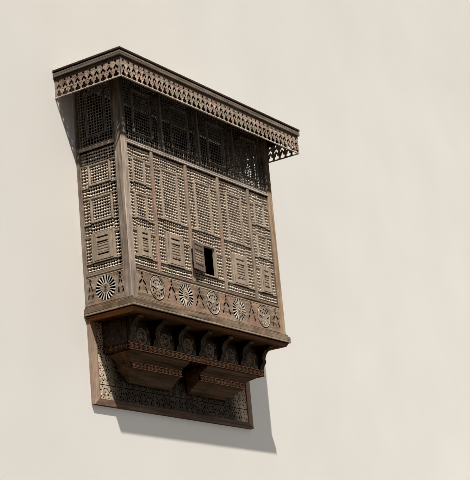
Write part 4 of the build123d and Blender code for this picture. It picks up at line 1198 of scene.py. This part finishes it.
def corbel_bay():
    # carved round ornaments between the brackets, and foliage on the ends
    p = Piece("bay_carvings", "corbel_wood", [M_BRK, M_BRK_S])
    w = ("F", BAY_D)
    BRX = [345.0 * k * (BAY_HX - 30) / 1035.0 for k in (-3, -2, -1, 0, 1, 2, 3)]
    zc = Z0 - 176.0
    for a, b in zip(BRX, BRX[1:]):
        c = (a + b) / 2
        R = 66.0
        t = np.arange(30) * 2 * np.pi / 30
        for r, wd in ((R, 9.0), (R * 0.80, 5.0)):
            p.add(ribbon(np.c_[c + r * np.cos(t), zc + r * np.sin(t)], wd, -1.0, 9.0, closed=True), w, 0)
        for k in range(2):
            a0 = k * math.pi
            p.add(ribbon(spiral(c + 21 * math.cos(a0), zc + 21 * math.sin(a0), 25, 6, a0 + math.pi, 1.2, 14),
                         8.0, -1.0, 9.0), w, 0)
        for k in range(8):
            a0 = k * math.pi / 4 + 0.3
            p.add(leaflet(c + 36 * math.cos(a0), zc + 36 * math.sin(a0), a0 + 0.9, 18, 9, -1.0, 8.0), w, 0)
        for s in (-1, 1):
            for dz, q in ((52, 1), (-46, -1)):
                p.add(ribbon(spiral(c + s * 92, zc + dz, 22, 6, math.pi / 2 * q, s * 1.1, 10), 6.5, -1.0, 7.0), w, 0)
                p.add(leaflet(c + s * 70, zc + dz * 1.35, math.pi / 2 - s * 0.9, 26, 12, -1.0, 7.0), w, 0)
    for side in (("L", BAY_HX), ("R", BAY_HX)):
        arabesque(p, side, WALL_T + 8, BAY_D - 24, Z0 - 240, Z0 - 44, 64.0, -1.0, 7.0, 1)
    p.make()

    # splayed fillets under the base, with a dark quirk above them
    sec = [(12, 0), (46, 0), (46, -8), (68, -8), (69, -10), (54, -35), (51, -37), (12, -37)]
    for name, node, mats, runs in (("splayed_fillet_front", "fillet_front", [M_FIL], ("front",)),
                                   ("splayed_fillet_sides", "fillet_sides", [M_FIL_Y], (-1, 1))):
        t = Piece(name, "fillet_wood", mats, [node])
        for run in runs:
            t.add(mitred(sec, 1140.0, 434.0, run), ("T", 0.0), 0)
        t.make()

    # brackets: a coved scroll, ribbed on its edges
    q = Piece("scroll_brackets", "corbel_wood", [M_BRK_D, M_REDDOT, M_RIB], ["brackets"])
    zs = Z0 - 30.0
    out = [(-430, 0), (-432, -16), (-424, -27), (-408, -35), (-388, -43), (-370, -54), (-356, -69), (-346, -88),
           (-339, -108), (-338, -124), (-343, -136), (-344, -148), (-338, -159), (-328, -167), (-320, -178),
           (-315, -192), (-310, -206), (-305, -219)]
    body = [(-BAY_D, 0)] + out + [(-BAY_D, -219)]
    for x in BRX:
        # polygon in (v, n) of the side face, extruded along x
        poly = [(zs + z, -y - BAY_D) for y, z in body]
        q.add(prism(poly, x - 22, x + 22, "u"), ("F", BAY_D), 0)
        # raised rib on each cheek and a bead along the nose
        for s in (-1, 1):
            sh = [(zs + z, -y - BAY_D) for y, z in out]
            inn = [(v + (2 if i < 6 else 0), n - 13) for i, (v, n) in enumerate(sh)]
            poly2 = sh + [(v, max(n, 0.5)) for v, n in inn[::-1]]
            q.add(prism(poly2, *sorted((x + s * 22, x + s * 28)), "u"), ("F", BAY_D), 0)
            edge = [(v, n - 1.0) for v, n in sh]
            q.add(edge_rib(edge, x + s * 25.0, 2.6), ("F", BAY_D), 2)
        q.add(turned(x - 29, x + 29, 1, [zs - 17.0], 430.0 - BAY_D - 9.0, ((0.0, 12.0), (0.1, 15.0), (0.9, 15.0)), 12, "u"),
              ("F", BAY_D), 1, True)
        q.add(turned(x - 29, x + 29, 1, [zs - 146.0], 336.0 - BAY_D, ((0.0, 7.0), (0.1, 10.0), (0.9, 10.0)), 10, "u"),
              ("F", BAY_D), 0, True)
    q.make()

    # friezes
    r = Piece("frieze_carvings", "frieze_wood", [M_RED, M_RED_S])
    zf0, zf1 = Z0 - 306.0, Z0 - 250.0
    for a, b in ((-BAY_HX, -6), (6, BAY_HX)):
        vine(r, ("F", BAY_D + 14.0), a, b, zf0 + 5, zf1 - 5, -1.0, 6.0, rib=8.0, leaf=17.0, period=128.0)
    for side in (("L", BAY_HX + 4), ("R", BAY_HX + 4)):
        vine(r, side, WALL_T + 4, BAY_D + 8, zf0 + 5, zf1 - 5, -1.0, 6.0, 1, rib=6.0, leaf=13.0, period=104.0)
    for a, b in ((-BAY_HX - 4, BAY_HX + 4),):
        for z in (zf0 + 2.5, zf1 - 2.5):
            r.add(block(a, b, z - 2.5, z + 2.5, -1.0, 5.0, 1.5), ("F", BAY_D + 14.0), 0)
    r.add(block(-4, 4, zf0, zf1, -1.0, 6.0, 1.5), ("F", BAY_D + 14.0), 0)
    for s in (-1, 1):
        a, b = sorted((s * 140.0, s * 870.0))
        vine(r, ("F", 190.0), a + 4, b - 4, Z0 - 421, Z0 - 380, -1.0, 5.0, rib=6.5, leaf=13.0, period=104.0)
        for z in (Z0 - 423.5, Z0 - 377.5):
            r.add(block(a, b, z - 2.5, z + 2.5, -1.0, 4.5, 1.5), ("F", 190.0), 0)
    r.make()


def fret(w, h, m):
    """One cell of the pierced arabesque: leaf, dot and comma holes in a thin sheet."""
    def P(pts):
        mx_, my_ = sum(x for x, _ in pts) / len(pts), sum(y for _, y in pts) / len(pts)
        return [(m * (mx_ + 1.12 * (x - mx_)) * w, (my_ + 1.12 * (y - my_)) * h) for x, y in pts]
    holes = [P([(-0.06, 0.0), (-0.02, 0.10), (0.05, 0.17), (0.12, 0.19), (0.09, 0.09), (0.05, 0.0), (0.0, -0.05)]),
             P([(0.06, -0.12), (0.16, -0.08), (0.27, -0.12), (0.34, -0.22), (0.22, -0.20), (0.12, -0.22)]),
             P([(-0.12, -0.10), (-0.10, -0.22), (-0.18, -0.32), (-0.30, -0.36), (-0.24, -0.26), (-0.22, -0.14)]),
             P([(-0.16, 0.12), (-0.28, 0.08), (-0.38, 0.14), (-0.42, 0.25), (-0.32, 0.20), (-0.20, 0.22)]),
             P([(0.20, 0.30), (0.27, 0.36), (0.35, 0.32), (0.33, 0.24), (0.24, 0.23)]),
             P([(-0.02, 0.33), (0.05, 0.38), (0.02, 0.45), (-0.06, 0.44), (-0.09, 0.38)]),
             P([(0.37, 0.02), (0.44, 0.06), (0.45, -0.03), (0.39, -0.06)]),
             P([(0.02, -0.35), (0.10, -0.32), (0.16, -0.38), (0.08, -0.44), (0.0, -0.42)])]
    return sheet([(-w / 2, -h / 2), (w / 2, -h / 2), (w / 2, h / 2), (-w / 2, h / 2)], holes, -6.0, 0.0)


def fret_field(p, where, u0, u1, v0, v1, cell, n1, mat=0):
    """Cells of the arabesque side by side, each the mirror of the next."""
    nu, nv = max(1, round((u1 - u0) / cell)), max(1, round((v1 - v0) / cell))
    su, sv = (u1 - u0) / nu, (v1 - v0) / nv
    made = {m: fret(su, sv, m) for m in (-1, 1)}
    for j in range(nv):
        for i in range(nu):
            V, faces = made[1 if (i + j) % 2 == 0 else -1]
            p.pierced((V + np.array([u0 + (i + 0.5) * su, v0 + (j + 0.5) * sv, n1]), faces), where, mat)


def scroll_field(p, where, u0, u1, v0, v1, cell, n0, h, mat=0):
    """Raised stems that swing across the arabesque, with a leaf at each turn."""
    nu, nv = max(1, round((u1 - u0) / cell)), max(1, round((v1 - v0) / cell))
    su, sv = (u1 - u0) / nu, (v1 - v0) / nv
    for j in range(nv):
        for i in range(nu):
            cx, cy = u0 + (i + 0.5) * su, v0 + (j + 0.5) * sv
            m = 1 if (i + j) % 2 == 0 else -1
            r = min(su, sv) * 0.40
            p.add(ribbon(spiral(cx, cy, r, r * 0.25, m * 0.5, m * 1.1, 12), r * 0.17, n0, h), where, mat)
            p.add(ribbon([(cx + m * r, cy + r * 0.45), (cx + m * su * 0.47, cy), (cx + m * su * 0.5, cy - sv * 0.5)],
                         r * 0.16, n0, h), where, mat)
            for a in (1.2, 3.4, 5.2):
                p.add(leaflet(cx + m * r * math.cos(a), cy + r * math.sin(a), (a if m > 0 else math.pi - a) + 0.8 * m,
                              r * 0.5, r * 0.26, n0, h * 1.2), where, mat)


def wall_boards():
    p = Piece("wall_board_carvings", "wall_wood", [M_WALL_C, M_REDBEAD, M_PAINTED_SHADE])
    w = ("F", 22.0)
    PX = HALF - WALL_W
    zs = ZB + 55.0
    for z0, z1 in ((zs, Z0 - 571), (Z0 - 563, Z0 - 268), (Z0 - 260, Z0 - 37)):
        fret_field(p, w, -PX + 8, PX - 8, z0, z1, 88.0, 6.0)
        scroll_field(p, w, -PX + 8, PX - 8, z0, z1, 150.0, 5.0, 4.0)
    for s in (-1, 1):
        a, b = sorted((s * PX, s * (PX - 8.0)))
        p.add(block(a, b, zs, Z0 - 37, -1.0, 16.0, 2.0), w, 1)
    # dark lines across the boards at the rails: painted shade
    for z in (Z0 - 264, Z0 - 567):
        p.add(block(-PX, PX, z - 4, z + 4, -6.0, 1.0, 0.5), w, 2)
    p.make()


def mouldings():
    """The base moulding and the canopy's fascia, run round three sides."""
    base = [(-1, 0), (23, 0), (26, 2), (27, 5), (27, 14), (25.5, 16), (27, 18), (27, 54), (25, 58), (21, 60), (14, 60.5),
            (13, 63), (12, 66), (13, 68), (12, 71), (10.5, 74), (10, 79), (9, 80), (-1, 80)]
    fas = [(0, 2084), (31, 2084), (34, 2086.5), (35, 2090), (35, 2103), (33, 2105.5), (35, 2108), (35, 2120),
           (33, 2124), (30, 2128), (26, 2131), (0, 2131)]
    strip = [(0, 2057), (19, 2057), (20.5, 2059), (20.5, 2070), (18.5, 2073), (18.5, 2086), (0, 2086)]
    bead = [(20, -2.5), (27.5, -2.5), (29, 0), (29, 10.0), (27.5, 12.5), (20, 12.5)]
    for name, node, slot, mats, runs, sec, hx, d in (
            ("base_moulding_front", "base_front", "carved_wood", [M_BASE, M_BASEBEAD], ("front",), base, HALF, DEPTH),
            ("base_moulding_sides", "base_sides", "carved_wood", [M_BASE_Y, M_BASEBEAD], (-1, 1), base, HALF, DEPTH),
            ("fascia_board_front", "fascia_front", "canopy_wood", [M_FAS, M_FASD], ("front",), fas, CAN_HX - 40,
             CAN_D - 43),
            ("fascia_board_sides", "fascia_sides", "canopy_wood", [M_FAS_Y, M_FASD], (-1, 1), fas, CAN_HX - 40,
             CAN_D - 43)):
        p = Piece(name, slot, mats, [node])
        for run in runs:
            p.add(mitred(sec, hx, d, run), ("T", 0.0), 0)
            p.add(mitred(bead if sec is base else strip, hx, d, run), ("T", 0.0), 1)
        p.make()


# ---- CAD nodes that stay --------------------------------------------------------------------
main_panels()
upper_panels()
frame_members()
apron()
canopy()
corbel_bay()
wall_boards()
mouldings()

finish_node("rear_stiles", M_POST)
finish_node("floor_boards", M_FLOOR)
finish_node("bay_panel", M_DARK)
finish_node("bay_sides", M_DARK)
finish_node("corbels", M_MOULD)
finish_node("frieze_upper", M_FRIEZE)
finish_node("frieze_lower", M_FRIEZE)
finish_node("wall_stiles", M_WALL)
finish_node("wall_sill", M_SILL)
finish_node("wall_panels", M_GROUND)
finish_node("leaf_hinges", M_IRON)


# ---- stage: wall, floor, light ---------------------------------------------------------------
def stage_mat(name, colour, one_sided=False, bump=0.1):
    m = bpy.data.materials.new(name)
    m.use_nodes = True
    nt = m.node_tree
    b = nt.nodes["Principled BSDF"]
    b.inputs["Roughness"].default_value = 0.9
    b.inputs["Specular IOR Level"].default_value = 0.1
    co = nt.nodes.new("ShaderNodeTexCoord")
    n = nt.nodes.new("ShaderNodeTexNoise")
    n.inputs["Scale"].default_value = 0.9
    n.inputs["Detail"].default_value = 5.0
    r = nt.nodes.new("ShaderNodeValToRGB")
    r.color_ramp.elements[0].position = 0.3
    r.color_ramp.elements[1].position = 0.7
    r.color_ramp.elements[0].color = tuple(c * 0.96 for c in colour[:3]) + (1,)
    r.color_ramp.elements[1].color = tuple(min(1, c * 1.03) for c in colour[:3]) + (1,)
    nt.links.new(co.outputs["Object"], n.inputs["Vector"])
    nt.links.new(n.outputs["Fac"], r.inputs["Fac"])
    nt.links.new(r.outputs["Color"], b.inputs["Base Color"])
    if one_sided:
        out = nt.nodes["Material Output"]
        g = nt.nodes.new("ShaderNodeNewGeometry")
        t = nt.nodes.new("ShaderNodeBsdfTransparent")
        x = nt.nodes.new("ShaderNodeMixShader")
        nt.links.new(g.outputs["Backfacing"], x.inputs[0])
        nt.links.new(b.outputs[0], x.inputs[1])
        nt.links.new(t.outputs[0], x.inputs[2])
        nt.links.new(x.outputs[0], out.inputs["Surface"])
    return m


def bounce(m):
    """Painted light on the backdrop: a weak glow and a darker colour under it, more to the right and below, so its
    shade there looks lit back from the ground.
    """
    nt = m.node_tree
    b = nt.nodes["Principled BSDF"]
    co = nt.nodes.new("ShaderNodeTexCoord")
    sep = nt.nodes.new("ShaderNodeSeparateXYZ")
    nt.links.new(co.outputs["Object"], sep.inputs[0])
    facs = []
    for axis, a0, a1 in ((0, 0.5, 1.3), (2, 0.0, -0.45)):
        mr = nt.nodes.new("ShaderNodeMapRange")
        mr.interpolation_type = "SMOOTHSTEP"
        mr.inputs["From Min"].default_value, mr.inputs["From Max"].default_value = a0, a1
        nt.links.new(sep.outputs[axis], mr.inputs["Value"])
        facs.append(mr.outputs[0])
    mx_ = nt.nodes.new("ShaderNodeMath")
    mx_.operation = "MAXIMUM"
    nt.links.new(facs[0], mx_.inputs[0])
    nt.links.new(facs[1], mx_.inputs[1])
    em = nt.nodes.new("ShaderNodeMath")
    em.operation = "MULTIPLY"
    em.inputs[1].default_value = 0.15
    nt.links.new(mx_.outputs[0], em.inputs[0])
    nt.links.new(em.outputs[0], b.inputs["Emission Strength"])
    b.inputs["Emission Color"].default_value = (1.0, 0.95, 0.87, 1)
    old = b.inputs["Base Color"].links[0].from_socket
    dk = nt.nodes.new("ShaderNodeMix")
    dk.data_type = "RGBA"
    dk.blend_type = "MULTIPLY"
    nt.links.new(mx_.outputs[0], dk.inputs[0])
    nt.links.new(old, dk.inputs[6])
    dk.inputs[7].default_value = (0.81, 0.81, 0.81, 1)
    nt.links.new(dk.outputs[2], b.inputs["Base Color"])


def stage_mesh(name, V, F, mat):
    me = bpy.data.meshes.new(name)
    me.from_pydata(V, [], F)
    me.materials.append(mat)
    o = bpy.data.objects.new(name, me)
    bpy.context.scene.collection.objects.link(o)
    return o


def stage():
    zf = -4.3
    floor = stage_mesh("stage_floor", [(-60, -60, zf), (60, -60, zf), (60, 60, zf), (-60, 60, zf)], [(0, 1, 2, 3)],
                       stage_mat("stage_floor", (0.78, 0.75, 0.69)))
    wall_mat = stage_mat("stage_wall", (0.775, 0.745, 0.70), True)
    # painted light: the backdrop glows a little to the right and below
    bounce(wall_mat)
    X0, X1, Z1 = -16.0, 18.0, 12.0
    ox, oz0, oz1 = (HALF - 40) / 1000, (Z0 + 20) / 1000, (Z_TOP - 20) / 1000
    y = 0.003
    xs, zs = [X0, -ox, ox, X1], [zf, oz0, oz1, Z1]
    V = [(a, y, b) for b in zs for a in xs]
    F = []
    for j in range(3):
        for i in range(3):
            if (i, j) != (1, 1):
                k = j * 4 + i
                F.append((k, k + 1, k + 5, k + 4))
    wall = stage_mesh("stage_wall", V, F, wall_mat)
    # a dark sheet across the opening, seen from the front only: painted shade that stands for the dark room behind
    dark = stage_mat("stage_opening", (0.006, 0.0055, 0.005), True)
    room = stage_mesh("stage_opening", [(-ox, y, oz0), (ox, y, oz0), (ox, y, oz1), (-ox, y, oz1)], [(0, 1, 2, 3)], dark)
    for o in (wall, room):
        o.visible_diffuse = o.visible_glossy = o.visible_transmission = False
        o.visible_shadow = False
    floor.visible_diffuse = floor.visible_glossy = False
    return floor, wall, room


stage()

world = bpy.data.worlds.new("studio")
bpy.context.scene.world = world
world.use_nodes = True
wn, wl = world.node_tree.nodes, world.node_tree.links
bg = wn["Background"]
tc = wn.new("ShaderNodeTexCoord")
sp = wn.new("ShaderNodeSeparateXYZ")
rp = wn.new("ShaderNodeValToRGB")
mp = wn.new("ShaderNodeMapRange")
mp.inputs["From Min"].default_value = -1.0
mp.inputs["From Max"].default_value = 1.0
wl.new(tc.outputs["Generated"], sp.inputs[0])
wl.new(sp.outputs["Z"], mp.inputs["Value"])
wl.new(mp.outputs[0], rp.inputs["Fac"])
rp.color_ramp.elements[0].position, rp.color_ramp.elements[0].color = 0.40, (0.115, 0.10, 0.08, 1)
rp.color_ramp.elements[1].position, rp.color_ramp.elements[1].color = 0.90, (0.36, 0.385, 0.42, 1)
e = rp.color_ramp.elements.new(0.54)
e.color = (0.17, 0.175, 0.18, 1)
lp = wn.new("ShaderNodeLightPath")
bg2 = wn.new("ShaderNodeBackground")
bg2.inputs["Color"].default_value = (0.70, 0.72, 0.75, 1)
bg2.inputs["Strength"].default_value = 1.0
mx = wn.new("ShaderNodeMixShader")
wl.new(rp.outputs["Color"], bg.inputs["Color"])
bg.inputs["Strength"].default_value = 1.0
wl.new(lp.outputs["Is Camera Ray"], mx.inputs[0])
wl.new(bg.outputs[0], mx.inputs[1])
wl.new(bg2.outputs[0], mx.inputs[2])
wl.new(mx.outputs[0], wn["World Output"].inputs["Surface"])

sun_data = bpy.data.lights.new("sun", "SUN")
sun_data.energy = 5.25
sun_data.angle = math.radians(0.9)
sun_data.color = (1.0, 0.955, 0.88)
sun = bpy.data.objects.new("sun", sun_data)
bpy.context.scene.collection.objects.link(sun)
sun.rotation_mode = "QUATERNION"
sun.rotation_quaternion = Vector((0.77, 1.0, -1.80)).normalized().to_track_quat("-Z", "Y")
sun.location = (-4, -6, 9)

fill_data = bpy.data.lights.new("right_bounce", "AREA")
fill_data.shape = "RECTANGLE"
fill_data.size, fill_data.size_y = 6.0, 6.0
fill_data.energy = 55.0
fill_data.color = (1.0, 0.95, 0.87)
fill = bpy.data.objects.new("right_bounce", fill_data)
bpy.context.scene.collection.objects.link(fill)
fill.location = (8.5, -5.0, -0.5)
fill.rotation_mode = "QUATERNION"
fill.rotation_quaternion = (Vector((1.0, 0.0, 0.3)) - fill.location).to_track_quat("-Z", "Y")

# ---- camera: the photograph's own ----------------------------------------------------------
az, el, roll = math.radians(-57.7025), math.radians(-16.1479), math.radians(5.3029)
back = np.array([math.sin(az) * math.cos(el), -math.cos(az) * math.cos(el), math.sin(el)])
x = np.cross([0, 0, 1.0], back)
x /= np.linalg.norm(x)
yv = np.cross(back, x)
R = np.array([x, yv, back])
c, s = math.cos(roll), math.sin(roll)
Rr = np.array([[c, -s, 0], [s, c, 0], [0, 0, 1]]) @ R
cam_data = bpy.data.cameras.new("camera")
cam_data.lens = 116.594
cam_data.sensor_width = 36.0
cam_data.sensor_fit = "AUTO"
cam_data.clip_start, cam_data.clip_end = 0.1, 300.0
cam = bpy.data.objects.new("camera", cam_data)
bpy.context.scene.collection.objects.link(cam)
mat = Matrix.Identity(4)
for i in range(3):
    for j in range(3):
        mat[j][i] = float(Rr[i][j])
mat[0][3], mat[1][3], mat[2][3] = -11.1973, -7.8570, -2.6993
cam.matrix_world = mat
bpy.context.scene.camera = cam
bpy.context.scene.view_settings.view_transform = "Standard"
bpy.context.scene.view_settings.look = "None"

# back light, for the inside as seen from behind
rear_data = bpy.data.lights.new("rear_fill", "AREA")
rear_data.shape = "RECTANGLE"
rear_data.size, rear_data.size_y = 4.0, 4.0
rear_data.energy = 260.0
rear_data.color = (1.0, 0.96, 0.90)
rear = bpy.data.objects.new("rear_fill", rear_data)
bpy.context.scene.collection.objects.link(rear)
rear.location = (5.0, 6.5, 3.5)
rear.rotation_mode = "QUATERNION"
rear.rotation_quaternion = (Vector((0.0, 0.0, 1.2)) - rear.location).to_track_quat("-Z", "Y")

sc = bpy.context.scene
sc.cycles.filter_width = 0.75
sc.use_nodes = True
ct = sc.node_tree
ct.nodes.clear()
layers = ct.nodes.new("CompositorNodeRLayers")
toe = ct.nodes.new("CompositorNodeCurveRGB")
toe.inputs["Black Level"].default_value = (0.0030, 0.0030, 0.0026, 1.0)
outp = ct.nodes.new("CompositorNodeComposite")
ct.links.new(layers.outputs["Image"], toe.inputs["Image"])
ct.links.new(toe.outputs["Image"], outp.inputs["Image"])

print("TRIS", sum(TRIS.values()), TRIS)
